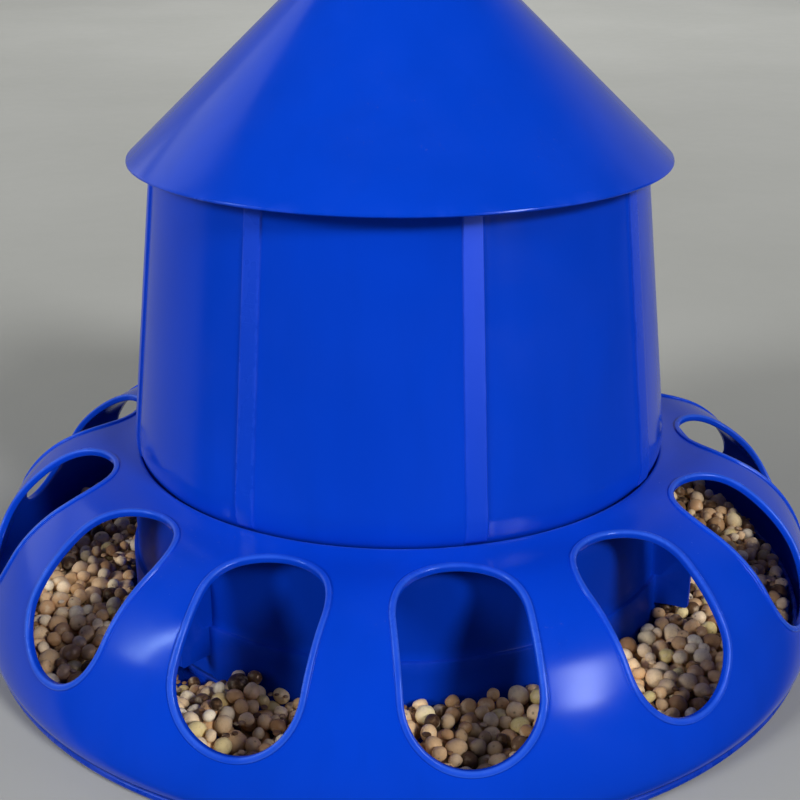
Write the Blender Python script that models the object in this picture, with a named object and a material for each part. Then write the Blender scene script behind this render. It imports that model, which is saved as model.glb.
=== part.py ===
"""Gravity poultry feeder: conical rain lid on a ribbed hopper barrel, which
stands in the neck of a domed feeding ring with thirteen ports over a round pan.

Metres, +Z up, the pan's flat foot on Z = 0, the axis of the feeder on Z.
Angles run round the axis from the front (-Y) towards +X.
"""

import math

import bmesh
import bpy
import numpy as np

# ------------------------------------------------------------------ sizes
U = 0.115                     # radius of the barrel where it meets the neck
Z_NECK = 0.70 * U             # height of the neck lip above the floor

# feeding ring
PORTS = 13                    # feeding ports round the ring
PITCH = 2.0 * math.pi / PORTS
PORT_0 = math.radians(8.34)   # angle of the first port from the front
RING_T = 0.0022               # wall of the ring
PORT_TOP = 0.093 * U          # port outline, measured down the ring's face
PORT_TOP_RISE = 0.235 * U     # height of the half ellipse that closes its top
PORT_TOP_HALF = 0.203 * U     # half width where that ellipse ends
PORT_FOOT = 0.783 * U
PORT_FOOT_R = 0.208 * U       # radius of the round foot of the port
BEAD_W = 0.0025               # rolled bead round each port
BEAD_H = 0.0011
FACE_TOP = 0.046 * U          # part of the face that the ports are set in
FACE_FOOT = 0.860 * U

# neck of the ring, with its bayonet flange
LIP_R = 0.992 * U             # bore of the lip
FLANGE_R = 0.962 * U          # bore of the flange below it
FLANGE_TOP = -0.045 * U       # heights here are from the neck lip
FLANGE_FOOT = -0.062 * U
NOTCH_R = 0.989 * U           # three notches let the lugs through
TWIST = 4                     # columns from locked to open, of 78 in a turn

# sleeve that hangs in the neck and carries the barrel
SLEEVE_R = 0.950 * U
SLEEVE_T = 0.0021
SPIGOT_R = 0.941 * U          # the part of it that stands inside the barrel
SLEEVE_FOOT = -0.450 * U
SLEEVE_TOP = 0.100 * U
LUG_R = 0.984 * U
LUG_TOP = -0.0665 * U
LUG_FOOT = -0.0865 * U

# barrel
BARREL_T = 0.0023
BARREL_TOP_Z = 1.147 * U
BARREL_TOP_R = 0.878 * U
RIBS = 8
RIB_0 = math.radians(14.3)
RIB_W = 0.066 * U
RIB_H = 0.0009

# lid
LID_R = 0.973 * U
LID_Z = 1.079 * U             # foot of the lid's rim above the neck
LID_H = 0.930 * U             # rim to the point where the cone would close
LID_T = 0.0019
CROWN_R = 0.150 * U           # where the cone turns into the flat crown

# feed well, pan and cone
WELL_R = 1.028 * U            # upper wall of the well
WELL_TOP = -0.075 * U
STEP_Z = -0.400 * U           # the wall steps out here
OUTLET_OUT = 1.045 * U        # lower wall, with the outlets at its foot
WELL_T = 0.0022
OUTLETS = 12
FINS = (-40.0, 65.5, 188.3)   # short fins on the wall, degrees
FIN_R = 1.170 * U
FIN_TOP = -0.200 * U
FIN_FOOT = -0.512 * U
FIN_T = 0.0024
PAN_FLOOR = -0.664 * U
PAN_WALL_OUT = 1.555 * U
PAN_WALL_IN = 1.537 * U
PAN_WALL_TOP = -0.600 * U
PAN_R = 1.588 * U
CONE_R = 0.780 * U
CONE_TOP = -0.170 * U

TAU = 2.0 * math.pi


# ---------------------------------------------------------------- helpers
def clear_scene():
    for obj in list(bpy.data.objects):
        bpy.data.objects.remove(obj, do_unlink=True)
    for mesh in list(bpy.data.meshes):
        bpy.data.meshes.remove(mesh)


def material(name, colour, roughness, metallic=0.0):
    mat = bpy.data.materials.new(name)
    mat.use_nodes = True
    bsdf = mat.node_tree.nodes["Principled BSDF"]
    bsdf.inputs["Base Color"].default_value = (*colour, 1.0)
    bsdf.inputs["Roughness"].default_value = roughness
    bsdf.inputs["Metallic"].default_value = metallic
    mat.diffuse_color = (*colour, 1.0)
    return mat


def finish(name, verts, faces, mat, sharp=38.0, lift=0.0):
    """One closed mesh, faces turned outward, smooth except at sharp edges."""
    mesh = bpy.data.meshes.new(name)
    mesh.from_pydata([tuple(v) for v in verts], [], faces)
    bm = bmesh.new()
    bm.from_mesh(mesh)
    bmesh.ops.remove_doubles(bm, verts=bm.verts, dist=1e-6)
    bmesh.ops.recalc_face_normals(bm, faces=bm.faces)
    bm.to_mesh(mesh)
    bm.free()
    mesh.shade_smooth()
    mesh.set_sharp_from_angle(angle=math.radians(sharp))
    mesh.materials.append(mat)
    obj = bpy.data.objects.new(name, mesh)
    obj.location.z = lift
    bpy.context.scene.collection.objects.link(obj)
    return obj


def polar(r, angle, z):
    return (r * math.sin(angle), -r * math.cos(angle), z)


def turned(name, loop, columns, mat, sharp=38.0, phase=0.0, lift=Z_NECK):
    """Turn a closed outline of (radius, height) points round the axis."""
    verts, faces, rows = [], [], []
    for r, z in loop:
        if r < 1e-7:
            rows.append([len(verts)] * columns)
            verts.append((0.0, 0.0, z))
        else:
            rows.append(list(range(len(verts), len(verts) + columns)))
            verts += [polar(r, phase + TAU * i / columns, z)
                      for i in range(columns)]
    n = len(loop)
    for a in range(n):
        top, low = rows[a], rows[(a + 1) % n]
        if top[0] == top[-1] and low[0] == low[-1]:
            continue
        for i in range(columns):
            j = (i + 1) % columns
            ring = [top[i], top[j], low[j], low[i]]
            face = [v for k, v in enumerate(ring) if v not in ring[:k]]
            if len(face) > 2:
                faces.append(face)
    return finish(name, verts, faces, mat, sharp, lift)


def smooth_curve(knots, samples=400):
    """Natural cubic through the knots, spaced by chord length."""
    p = np.array(knots, float)
    t = np.concatenate([[0.0], np.cumsum(np.hypot(*np.diff(p, axis=0).T))])
    n, h = len(t), np.diff(t)
    a = np.zeros((n, n))
    b = np.zeros((n, 2))
    a[0, 0] = a[-1, -1] = 1.0
    for i in range(1, n - 1):
        a[i, i - 1:i + 2] = h[i - 1], 2.0 * (h[i - 1] + h[i]), h[i]
        b[i] = 6.0 * ((p[i + 1] - p[i]) / h[i] - (p[i] - p[i - 1]) / h[i - 1])
    m = np.linalg.solve(a, b)
    out = []
    for x in np.linspace(0.0, t[-1], samples):
        i = min(int(np.searchsorted(t, x, side="right")) - 1, n - 2)
        l, r = t[i + 1] - x, x - t[i]
        out.append(m[i] * l ** 3 / (6 * h[i]) + m[i + 1] * r ** 3 / (6 * h[i])
                   + (p[i] / h[i] - m[i] * h[i] / 6) * l
                   + (p[i + 1] / h[i] - m[i + 1] * h[i] / 6) * r)
    return np.array(out)


# ------------------------------------------------------- the ring's face
# stations down the outside of the dome, in barrel radii from the neck lip
DOME = smooth_curve([(1.007, 0.000), (1.055, -0.0125), (1.104, -0.0185),
                     (1.155, -0.0225), (1.205, -0.0310), (1.301, -0.066),
                     (1.387, -0.121), (1.460, -0.190), (1.515, -0.268),
                     (1.557, -0.358), (1.592, -0.462), (1.6095, -0.560),
                     (1.606, -0.618), (1.590, -0.6535)]) * U
DOME_S = np.concatenate([[0.0], np.cumsum(np.hypot(*np.diff(DOME, axis=0).T))])
DOME_LEN = float(DOME_S[-1])


def dome(s, h=0.0):
    """Radius and height on the dome, s down its face, h out of it."""
    s = min(max(s, 0.0), DOME_LEN)
    e = 0.0006
    r, z = np.interp(s, DOME_S, DOME[:, 0]), np.interp(s, DOME_S, DOME[:, 1])
    s0, s1 = max(s - e, 0.0), min(s + e, DOME_LEN)
    dr = np.interp(s1, DOME_S, DOME[:, 0]) - np.interp(s0, DOME_S, DOME[:, 0])
    dz = np.interp(s1, DOME_S, DOME[:, 1]) - np.interp(s0, DOME_S, DOME[:, 1])
    size = math.hypot(dr, dz)
    return r - h * dz / size, z + h * dr / size


def spread(path, count):
    """count + 1 points at even spacing along a polyline of (s, w)."""
    p = np.array(path)
    d = np.concatenate([[0.0], np.cumsum(np.hypot(*np.diff(p, axis=0).T))])
    t = np.linspace(0.0, d[-1], count + 1)
    return np.c_[np.interp(t, d, p[:, 0]), np.interp(t, d, p[:, 1])]


def port_outline(across, down):
    """Closed outline (s, w) of a port, clockwise from its top left corner."""
    s1, s2 = PORT_TOP + PORT_TOP_RISE, PORT_FOOT - PORT_FOOT_R

    def head(a):
        return (s1 - PORT_TOP_RISE * math.cos(a), PORT_TOP_HALF * math.sin(a))

    def foot(a):
        return (s2 + PORT_FOOT_R * math.cos(a), PORT_FOOT_R * math.sin(a))

    q = math.pi / 4.0
    fan = [i / 24.0 for i in range(25)]
    top = [head(-q + 2 * q * t) for t in fan]
    right = ([head(q + q * t) for t in fan]
             + [foot(2 * q - q * t) for t in fan])
    low = [foot(q - 2 * q * t) for t in fan]
    left = [(s, -w) for s, w in reversed(right)]
    loop = []
    for path, n in ((top, across), (right, down), (low, across), (left, down)):
        loop += [tuple(p) for p in spread(path, n)[:-1]]
    return loop


def outward(loop):
    """Outward unit normals of a closed (s, w) outline."""
    n, out = len(loop), []
    for i in range(n):
        ds = loop[(i + 1) % n][0] - loop[i - 1][0]
        dw = loop[(i + 1) % n][1] - loop[i - 1][1]
        size = math.hypot(ds, dw)
        out.append((-dw / size, ds / size))
    return out


def build_port_ring(mat):
    across, down = 6, 8
    columns = PORTS * across
    loop = port_outline(across, down)
    norm = outward(loop)
    count = len(loop)
    half = PITCH / 2.0
    frame = []
    for k in range(count):
        if k < across:
            frame.append((FACE_TOP, -half + PITCH * k / across))
        elif k < across + down:
            frame.append((FACE_TOP + (FACE_FOOT - FACE_TOP)
                          * (k - across) / down, half))
        elif k < 2 * across + down:
            frame.append((FACE_FOOT, half - PITCH
                          * (k - across - down) / across))
        else:
            frame.append((FACE_FOOT - (FACE_FOOT - FACE_TOP)
                          * (k - 2 * across - down) / down, -half))

    verts, faces, known = [], [], {}

    def point(s, angle, h):
        r, z = dome(s, h)
        key = (round(s, 7), round(angle % TAU, 6) % round(TAU, 6), round(h, 7))
        if key not in known:
            known[key] = len(verts)
            verts.append(polar(r, angle, z))
        return known[key]

    # rings round a port: bead on the outside, edge, then the inner face
    bead = [(BEAD_W, 0.0), (0.78 * BEAD_W, 0.62 * BEAD_H),
            (0.40 * BEAD_W, BEAD_H), (0.0, 0.45 * BEAD_H), (0.0, -RING_T)]

    def bead_point(k, d, h):
        s = loop[k][0] + norm[k][0] * d
        w = loop[k][1] + norm[k][1] * d
        return s, w / dome(loop[k][0])[0], h

    def blend_rows(d, h, steps):
        rows = []
        for j in range(1, steps + 1):
            t = j / steps
            row = []
            for k in range(count):
                s, a, _ = bead_point(k, d, h)
                row.append((s + (frame[k][0] - s) * t,
                            a + (frame[k][1] - a) * t, h))
            rows.append(row)
        return rows

    sector = list(reversed(blend_rows(BEAD_W, 0.0, 2)))
    sector += [[bead_point(k, d, h) for k in range(count)] for d, h in bead]
    sector += blend_rows(0.0, -RING_T, 2)
    for p in range(PORTS):
        turn = PORT_0 + PITCH * p
        rows = [[point(s, turn + a, h) for s, a, h in row] for row in sector]
        for top, low in zip(rows[:-1], rows[1:]):
            for k in range(count):
                m = (k + 1) % count
                faces.append([top[k], top[m], low[m], low[k]])

    # neck lip and flange above the ports, foot edge below them
    start = PORT_0 - half
    notch = {26 * third + TWIST + j for third in range(3) for j in range(4)}

    def column_points(i):
        angle = start + TAU * i / columns
        bore = NOTCH_R if (i % columns) in notch else FLANGE_R
        neck = [(FACE_TOP, 0.0), (0.0, 0.0)]
        lip = [(0.9985 * U, -0.0035 * U), (LIP_R, -0.013 * U),
               (LIP_R, FLANGE_TOP), (bore, FLANGE_TOP),
               (bore, FLANGE_FOOT), (0.9895 * U, FLANGE_FOOT - 0.0002)]
        inner = [(FACE_TOP, -RING_T)]
        foot_out = [(FACE_FOOT, 0.0), (0.925 * U, 0.0), (DOME_LEN, 0.0)]
        foot_in = [(0.925 * U, -RING_T), (FACE_FOOT, -RING_T)]
        upper = [point(s, angle, h) for s, h in neck]
        for j, (r, z) in enumerate(lip):
            key = ("lip", i % columns, j)
            if key not in known:
                known[key] = len(verts)
                verts.append(polar(r, angle, z))
            upper.append(known[key])
        upper += [point(s, angle, h) for s, h in inner]
        lower = [point(s, angle, h) for s, h in foot_out]
        key = ("foot", i % columns)
        if key not in known:
            r, z = dome(DOME_LEN)
            known[key] = len(verts)
            verts.append(polar(r - RING_T, angle, z))
        lower.append(known[key])
        lower += [point(s, angle, h) for s, h in foot_in]
        return upper, lower

    table = [column_points(i) for i in range(columns)]
    for i in range(columns):
        for a, b in zip(table[i], table[(i + 1) % columns]):
            for k in range(len(a) - 1):
                faces.append([a[k], b[k], b[k + 1], a[k + 1]])
    return finish("port_ring", verts, faces, mat, 50.0, Z_NECK)


def build_sleeve(mat):
    inner = SLEEVE_R - SLEEVE_T
    columns = 78
    start = PORT_0 - PITCH / 2.0
    lug = {26 * third + j for third in range(3) for j in range(3)}
    # outline, from the top of the spigot round the outside; the lug's two
    # outer points fall back to the tube between the lugs
    verts, rows = [], []
    for i in range(columns):
        angle = start + TAU * (i + 0.5) / columns
        wide = LUG_R if i in lug else SLEEVE_R + 0.0003
        loop = [(SPIGOT_R - SLEEVE_T, SLEEVE_TOP),
                (SPIGOT_R - 0.0007, SLEEVE_TOP),
                (SPIGOT_R, SLEEVE_TOP - 0.0012), (SPIGOT_R, -0.0255 * U),
                (0.984 * U, -0.0255 * U), (0.984 * U, -0.0418 * U),
                (SLEEVE_R, -0.0418 * U), (SLEEVE_R, LUG_TOP),
                (wide, LUG_TOP - 0.00005), (wide, LUG_FOOT + 0.00005),
                (SLEEVE_R, LUG_FOOT), (SLEEVE_R, SLEEVE_FOOT),
                (inner, SLEEVE_FOOT), (inner, -0.18 * U)]
        rows.append(list(range(len(verts), len(verts) + len(loop))))
        verts += [polar(r, angle, z) for r, z in loop]
    faces = []
    n = len(rows[0])
    for i in range(columns):
        a, b = rows[i], rows[(i + 1) % columns]
        for k in range(n):
            faces.append([a[k], b[k], b[(k + 1) % n], a[(k + 1) % n]])
    return finish("flow_sleeve", verts, faces, mat, 38.0, Z_NECK)


def barrel_radius(z):
    """Outside of the barrel: straight draft, turned in at its foot."""
    straight = U + (BARREL_TOP_R - U) * (z - 0.09 * U) / (BARREL_TOP_Z - 0.09 * U)
    if z >= 0.09 * U:
        return straight
    t = (0.09 * U - z) / (0.112 * U)
    return U - 0.031 * U * t ** 2.0 + 0.001 * U * t


def build_barrel(mat):
    levels = [-0.022, -0.008, 0.010, 0.030, 0.055, 0.090, 0.45, 0.80, 1.132]
    rib_foot, rib_top = 1, 8
    # angles: each rib has two crest columns and two foot columns
    rib_half = 0.5 * RIB_W / U
    plan = []
    for k in range(RIBS):
        mid = RIB_0 + TAU * k / RIBS
        plan += [(mid - rib_half - 0.006, 0.0), (mid - rib_half, 1.0),
                 (mid, 1.0), (mid + rib_half, 1.0),
                 (mid + rib_half + 0.006, 0.0)]
        gap = TAU / RIBS - 2.0 * (rib_half + 0.006)
        plan += [(mid + rib_half + 0.006 + gap * j / 6.0, 0.0)
                 for j in range(1, 6)]
    verts, rows = [], []
    for angle, crest in plan:
        outer = []
        for j, level in enumerate(levels):
            z = level * U
            r = barrel_radius(z)
            if rib_foot < j <= rib_top:
                r += RIB_H * crest
            outer.append((r, z))
        top = [(BARREL_TOP_R, BARREL_TOP_Z - 0.0004),
               (BARREL_TOP_R - 0.0006, BARREL_TOP_Z),
               (BARREL_TOP_R - BARREL_T + 0.0006, BARREL_TOP_Z)]
        inner = [(barrel_radius(l * U) - BARREL_T, l * U)
                 for l in (1.132, 0.55, 0.090, 0.030, -0.022)]
        loop = outer + top + inner
        rows.append(list(range(len(verts), len(verts) + len(loop))))
        verts += [polar(r, angle, z) for r, z in loop]
    faces = []
    n = len(rows[0])
    for i in range(len(rows)):
        a, b = rows[i], rows[(i + 1) % len(rows)]
        for k in range(n):
            faces.append([a[k], b[k], b[(k + 1) % n], a[(k + 1) % n]])
    return finish("hopper_barrel", verts, faces, mat, 30.0, Z_NECK)


def lid_outer(r):
    """Height of the lid's outside at radius r, a straight cone."""
    return LID_Z + LID_H * (1.0 - r / LID_R)


def build_lid(mat):
    crown_z = lid_outer(CROWN_R) + 0.012 * U
    steep = math.hypot(1.0, LID_H / LID_R)          # wall measured upright
    drop = LID_T * steep
    rim_out = [(LID_R - 0.0002, LID_Z + 0.0012), (LID_R, LID_Z + 0.0004),
               (LID_R - 0.0006, LID_Z)]
    outer = [(0.60 * LID_R, lid_outer(0.60 * LID_R))]
    crown = [(0.0025, crown_z), (0.11 * U, crown_z - 0.0002),
             (0.135 * U, crown_z - 0.0008), (CROWN_R, lid_outer(CROWN_R))]
    spigot_out, spigot_in = 0.845 * U, 0.829 * U

    def under(r):
        return lid_outer(r) - drop

    inner = [(LID_R - 0.0024, LID_Z), (0.90 * LID_R, under(0.90 * LID_R)),
             (spigot_out, under(spigot_out)),
             (spigot_out - 0.0003, 1.095 * U),
             (spigot_in + 0.0003, 1.095 * U),
             (spigot_in, under(spigot_in)),
             (0.45 * LID_R, under(0.45 * LID_R)),
             (CROWN_R, under(CROWN_R) - 0.0002),
             (0.130 * U, crown_z - 0.0026), (0.0025, crown_z - 0.0026)]
    loop = crown + outer + rim_out + inner
    return turned("rain_lid", loop, 72, mat, 38.0), crown_z


def build_knob(mat, screw_mat, washer_mat, crown_z):
    base = crown_z + 0.0003
    h = 0.255 * U
    outline = [(0.0, base + h)]
    outline += [(0.062 * U, base + h - 0.002 * U), (0.118 * U, base + h - 0.014 * U),
                (0.160 * U, base + h - 0.042 * U), (0.176 * U, base + h - 0.080 * U),
                (0.166 * U, base + h - 0.115 * U), (0.130 * U, base + h - 0.150 * U),
                (0.096 * U, base + h - 0.182 * U), (0.090 * U, base + h - 0.210 * U),
                (0.098 * U, base + 0.018 * U), (0.105 * U, base)]
    outline += [(0.0023, base), (0.0023, base + 0.0170), (0.0, base + 0.0172)]
    knob = turned("lid_knob", outline, 36, mat, 38.0)
    head = crown_z - 0.0026 - 0.0003 - 0.0013 - 0.0003
    washer = turned("knob_washer",
                    [(0.0026, head + 0.0016), (0.0065, head + 0.0016),
                     (0.0068, head + 0.0013), (0.0068, head + 0.0005),
                     (0.0065, head + 0.0003), (0.0026, head + 0.0003)],
                    24, washer_mat, 30.0)
    # pan-head screw, driven upward through the crown into the knob
    shank = 0.0019
    top = base + 0.0150
    screw_loop = [(0.0, top), (shank * 0.6, top - 0.0006),
                  (shank, top - 0.0030), (shank, head),
                  (0.0042, head), (0.0045, head - 0.0006),
                  (0.0040, head - 0.0020), (0.0026, head - 0.0027),
                  (0.0, head - 0.0029)]
    screw = turned("knob_screw", screw_loop, 24, screw_mat, 30.0)
    # cross recess in the head
    for k, name in enumerate(("recess_a", "recess_b")):
        bpy.ops.mesh.primitive_cube_add(size=1.0)
        cut = bpy.context.active_object
        cut.name = name
        cut.dimensions = (0.0044, 0.0009, 0.0030)
        bpy.ops.object.transform_apply(location=False, rotation=False, scale=True)
        cut.location = (0.0, 0.0, Z_NECK + head - 0.0029)
        cut.rotation_euler.z = k * math.pi / 2.0
        cut.hide_render = True
        cut.display_type = 'WIRE'
        mod = screw.modifiers.new(name, 'BOOLEAN')
        mod.operation = 'DIFFERENCE'
        mod.solver = 'EXACT'
        mod.object = cut
    return knob, washer, screw


def build_pan(mat):
    foot = -0.700 * U
    rim = PAN_R
    outline = [
        # outside, from the top of the wall down
        (PAN_WALL_IN + 0.0004, PAN_WALL_TOP), (PAN_WALL_OUT - 0.0004, PAN_WALL_TOP),
        (PAN_WALL_OUT, PAN_WALL_TOP - 0.0006), (PAN_WALL_OUT, -0.6565 * U),
        (rim - 0.0012, -0.6565 * U), (rim, -0.664 * U), (rim, -0.678 * U),
        (rim - 0.011 * U, -0.693 * U), (rim - 0.030 * U, foot),
        # flat foot and raised floor
        (1.430 * U, foot), (1.415 * U, -0.6845 * U), (0.720 * U, -0.6845 * U),
        (0.0, -0.6845 * U), (0.0, PAN_FLOOR),
        # locating ribs for the cone and the outlet ring
        (0.700 * U, PAN_FLOOR), (0.700 * U, -0.640 * U), (0.716 * U, -0.640 * U),
        (0.716 * U, PAN_FLOOR), (0.999 * U, PAN_FLOOR), (0.999 * U, -0.636 * U),
        (1.016 * U, -0.636 * U), (1.016 * U, PAN_FLOOR),
        (1.505 * U, PAN_FLOOR), (1.530 * U, -0.652 * U),
        (PAN_WALL_IN, -0.635 * U), (PAN_WALL_IN, PAN_WALL_TOP - 0.0006)]
    return turned("feed_pan", outline, 72, mat, 30.0)


def build_feed_well(mat):
    """Wall that stands in the pan under the neck, with arched outlets at its
    foot and three short fins that stand out into the trough."""
    foot = PAN_FLOOR + 0.0003
    arch_top = -0.592 * U
    columns = []
    for k in range(OUTLETS):
        # pier corner pairs share an angle so the arch jambs stand upright
        for off, lift in ((0.0, 0.0), (0.09, 0.0), (0.18, 0.0), (0.1801, 0.72),
                          (0.32, 0.94), (0.50, 1.0), (0.68, 0.94),
                          (0.8199, 0.72), (0.82, 0.0), (0.91, 0.0)):
            columns.append((360.0 * (k + off) / OUTLETS % 360.0,
                            foot + (arch_top - foot) * lift, 0.0))
    half = math.degrees(0.5 * FIN_T / (1.10 * U))
    for fin in FINS:
        fin %= 360.0
        near = [c for c in columns if abs(c[0] - fin) > half + 0.6]
        below = max((c for c in near if c[0] < fin), key=lambda c: c[0])
        low = below[1]
        columns = near + [(fin - half - 0.01, low, 0.0), (fin - half, low, 1.0),
                          (fin + half, low, 1.0), (fin + half + 0.01, low, 0.0)]
    columns.sort()
    inner, wide = WELL_R - WELL_T, OUTLET_OUT - WELL_T
    verts, rows = [], []
    for angle, low, fin in columns:
        outer = [(WELL_R, WELL_TOP - 0.0004), (WELL_R, STEP_Z),
                 (OUTLET_OUT - 0.0004, STEP_Z), (OUTLET_OUT, STEP_Z - 0.0004),
                 (OUTLET_OUT, FIN_FOOT)]
        if fin:
            outer = [(WELL_R, FIN_TOP), (FIN_R - 0.050 * U, FIN_TOP),
                     (FIN_R - 0.015 * U, FIN_TOP - 0.015 * U),
                     (FIN_R, FIN_TOP - 0.050 * U), (FIN_R, FIN_FOOT)]
        loop = [(inner, WELL_TOP), (WELL_R - 0.0004, WELL_TOP)] + outer
        loop += [(OUTLET_OUT, FIN_FOOT - 0.0004), (OUTLET_OUT, low),
                 (wide, low), (wide, -0.560 * U), (wide, STEP_Z - 0.0030),
                 (inner, STEP_Z - 0.0006)]
        rows.append(list(range(len(verts), len(verts) + len(loop))))
        turn = math.radians(angle)
        verts += [polar(r, turn, z) for r, z in loop]
    faces = []
    n = len(rows[0])
    for i in range(len(rows)):
        a, b = rows[i], rows[(i + 1) % len(rows)]
        for k in range(n):
            faces.append([a[k], b[k], b[(k + 1) % n], a[(k + 1) % n]])
    return finish("feed_well", verts, faces, mat, 38.0, Z_NECK)


def build_cone(mat):
    """Hollow cone that throws the feed outward, open underneath."""
    foot = PAN_FLOOR + 0.0003
    t = 0.0020
    outline = [(0.0, CONE_TOP), (0.045 * U, CONE_TOP - 0.010 * U),
               (0.085 * U, CONE_TOP - 0.045 * U),
               (0.45 * U, CONE_TOP - 0.255 * U),
               (CONE_R - 0.02 * U, foot + 0.040 * U),
               (CONE_R, foot + 0.018 * U), (CONE_R, foot),
               (CONE_R - t, foot), (CONE_R - t - 0.03 * U, foot + 0.022 * U),
               (0.43 * U, CONE_TOP - 0.275 * U),
               (0.075 * U, CONE_TOP - 0.066 * U), (0.0, CONE_TOP - 0.040 * U)]
    return turned("feed_cone", outline, 60, mat, 38.0)


def build_feed(mat):
    """The loose feed lying in the trough, as one plain closed ring."""
    outline = [(1.050 * U, -0.538 * U), (1.12 * U, -0.533 * U),
               (1.28 * U, -0.533 * U), (1.43 * U, -0.552 * U),
               (1.524 * U, -0.606 * U), (1.522 * U, -0.640 * U),
               (1.500 * U, PAN_FLOOR + 0.0004),
               (1.050 * U, PAN_FLOOR + 0.0004)]
    return turned("feed_bed", outline, 72, mat, 38.0)


def main():
    clear_scene()
    blue = (0.005, 0.052, 0.590)
    navy = (0.004, 0.040, 0.420)
    ring = material("ring_plastic", blue, 0.24)
    barrel = material("barrel_plastic", blue, 0.26)
    lid = material("lid_plastic", (0.005, 0.058, 0.640), 0.22)
    knob = material("knob_plastic", blue, 0.26)
    sleeve = material("sleeve_plastic", navy, 0.28)
    well = material("well_plastic", navy, 0.28)
    pan = material("pan_plastic", navy, 0.30)
    cone = material("cone_plastic", navy, 0.30)
    feed = material("feed_grain", (0.480, 0.300, 0.150), 0.60)
    steel = material("screw_steel", (0.560, 0.560, 0.540), 0.30, 1.0)
    zinc = material("washer_steel", (0.600, 0.600, 0.580), 0.35, 1.0)

    build_pan(pan)
    build_feed_well(well)
    build_cone(cone)
    build_feed(feed)
    build_port_ring(ring)
    build_sleeve(sleeve)
    build_barrel(barrel)
    _, crown_z = build_lid(lid)
    build_knob(knob, steel, zinc, crown_z)


main()
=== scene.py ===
"""Looks of the poultry feeder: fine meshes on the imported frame, moulded
plastic, loose grain, studio light and the camera.

Metres, +Z up. Angles run round the axis from the front (-Y) towards +X.
"""
import math
import random

import bmesh
import bpy
import numpy as np
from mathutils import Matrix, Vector


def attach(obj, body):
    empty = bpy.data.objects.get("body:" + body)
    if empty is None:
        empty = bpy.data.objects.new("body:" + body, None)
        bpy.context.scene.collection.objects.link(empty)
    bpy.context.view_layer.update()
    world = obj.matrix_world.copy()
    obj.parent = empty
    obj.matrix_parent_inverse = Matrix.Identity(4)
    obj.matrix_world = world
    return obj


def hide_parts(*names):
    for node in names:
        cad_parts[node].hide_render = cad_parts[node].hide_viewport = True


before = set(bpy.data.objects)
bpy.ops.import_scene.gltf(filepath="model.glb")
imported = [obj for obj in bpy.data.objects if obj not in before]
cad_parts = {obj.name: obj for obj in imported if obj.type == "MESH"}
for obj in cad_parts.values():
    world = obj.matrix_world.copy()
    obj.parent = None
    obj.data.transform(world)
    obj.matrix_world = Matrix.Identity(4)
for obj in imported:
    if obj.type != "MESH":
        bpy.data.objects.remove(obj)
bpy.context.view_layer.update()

TAU = 2.0 * math.pi
U = 0.115
Z_NECK = 0.70 * U

PORTS = 13
PITCH = TAU / PORTS
PORT_0 = math.radians(8.34)
RING_T = 0.0022
PORT_TOP = 0.093 * U
PORT_TOP_RISE = 0.235 * U
PORT_TOP_HALF = 0.203 * U
PORT_FOOT = 0.783 * U
PORT_FOOT_R = 0.208 * U
BEAD_W = 0.0025
BEAD_H = 0.0011
FACE_TOP = 0.046 * U
FACE_FOOT = 0.860 * U

LIP_R = 0.992 * U
FLANGE_R = 0.962 * U
FLANGE_TOP = -0.045 * U
FLANGE_FOOT = -0.062 * U
NOTCH_R = 0.989 * U

SLEEVE_R = 0.950 * U
SLEEVE_T = 0.0021
SPIGOT_R = 0.941 * U
SLEEVE_FOOT = -0.450 * U
SLEEVE_TOP = 0.100 * U
LUG_R = 0.984 * U
LUG_TOP = -0.0665 * U
LUG_FOOT = -0.0865 * U

BARREL_T = 0.0023
BARREL_TOP_Z = 1.147 * U
BARREL_TOP_R = 0.878 * U
RIBS = 8
RIB_0 = math.radians(14.3)
RIB_W = 0.066 * U
RIB_H = 0.0009

LID_R = 0.973 * U
LID_Z = 1.079 * U
LID_H = 0.930 * U
LID_T = 0.0019
CROWN_R = 0.150 * U

WELL_R = 1.028 * U
WELL_TOP = -0.075 * U
STEP_Z = -0.400 * U
OUTLET_OUT = 1.045 * U
WELL_T = 0.0022
OUTLETS = 12
FINS = (-40.0, 65.5, 188.3)
FIN_R = 1.170 * U
FIN_TOP = -0.200 * U
FIN_FOOT = -0.512 * U
FIN_T = 0.0024
PAN_FLOOR = -0.664 * U
PAN_WALL_OUT = 1.555 * U
PAN_WALL_IN = 1.537 * U
PAN_WALL_TOP = -0.600 * U
PAN_R = 1.588 * U
CONE_R = 0.780 * U
CONE_TOP = -0.170 * U


# ------------------------------------------------------------ mesh helpers
def polar(r, angle, z):
    return (r * math.sin(angle), -r * math.cos(angle), z + Z_NECK)


def piece(name, verts, faces, mat, body, node, marks=None, sharp=None):
    """A smooth mesh that stands for a CAD node. marks are per-vertex values
    that its material reads."""
    mesh = bpy.data.meshes.new(name)
    mesh.from_pydata([tuple(map(float, v)) for v in verts], [], faces)
    for key, values in (marks or {}).items():
        layer = mesh.attributes.new(key, "FLOAT", "POINT")
        layer.data.foreach_set("value", np.asarray(values, dtype=np.float32))
    bm = bmesh.new()
    bm.from_mesh(mesh)
    bmesh.ops.recalc_face_normals(bm, faces=bm.faces)
    bm.to_mesh(mesh)
    bm.free()
    mesh.shade_smooth()
    if sharp:
        mesh.set_sharp_from_angle(angle=math.radians(sharp))
    mesh.materials.append(mat)
    obj = bpy.data.objects.new(name, mesh)
    bpy.context.scene.collection.objects.link(obj)
    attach(obj, body)
    if node:
        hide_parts(node)
    return obj


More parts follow.
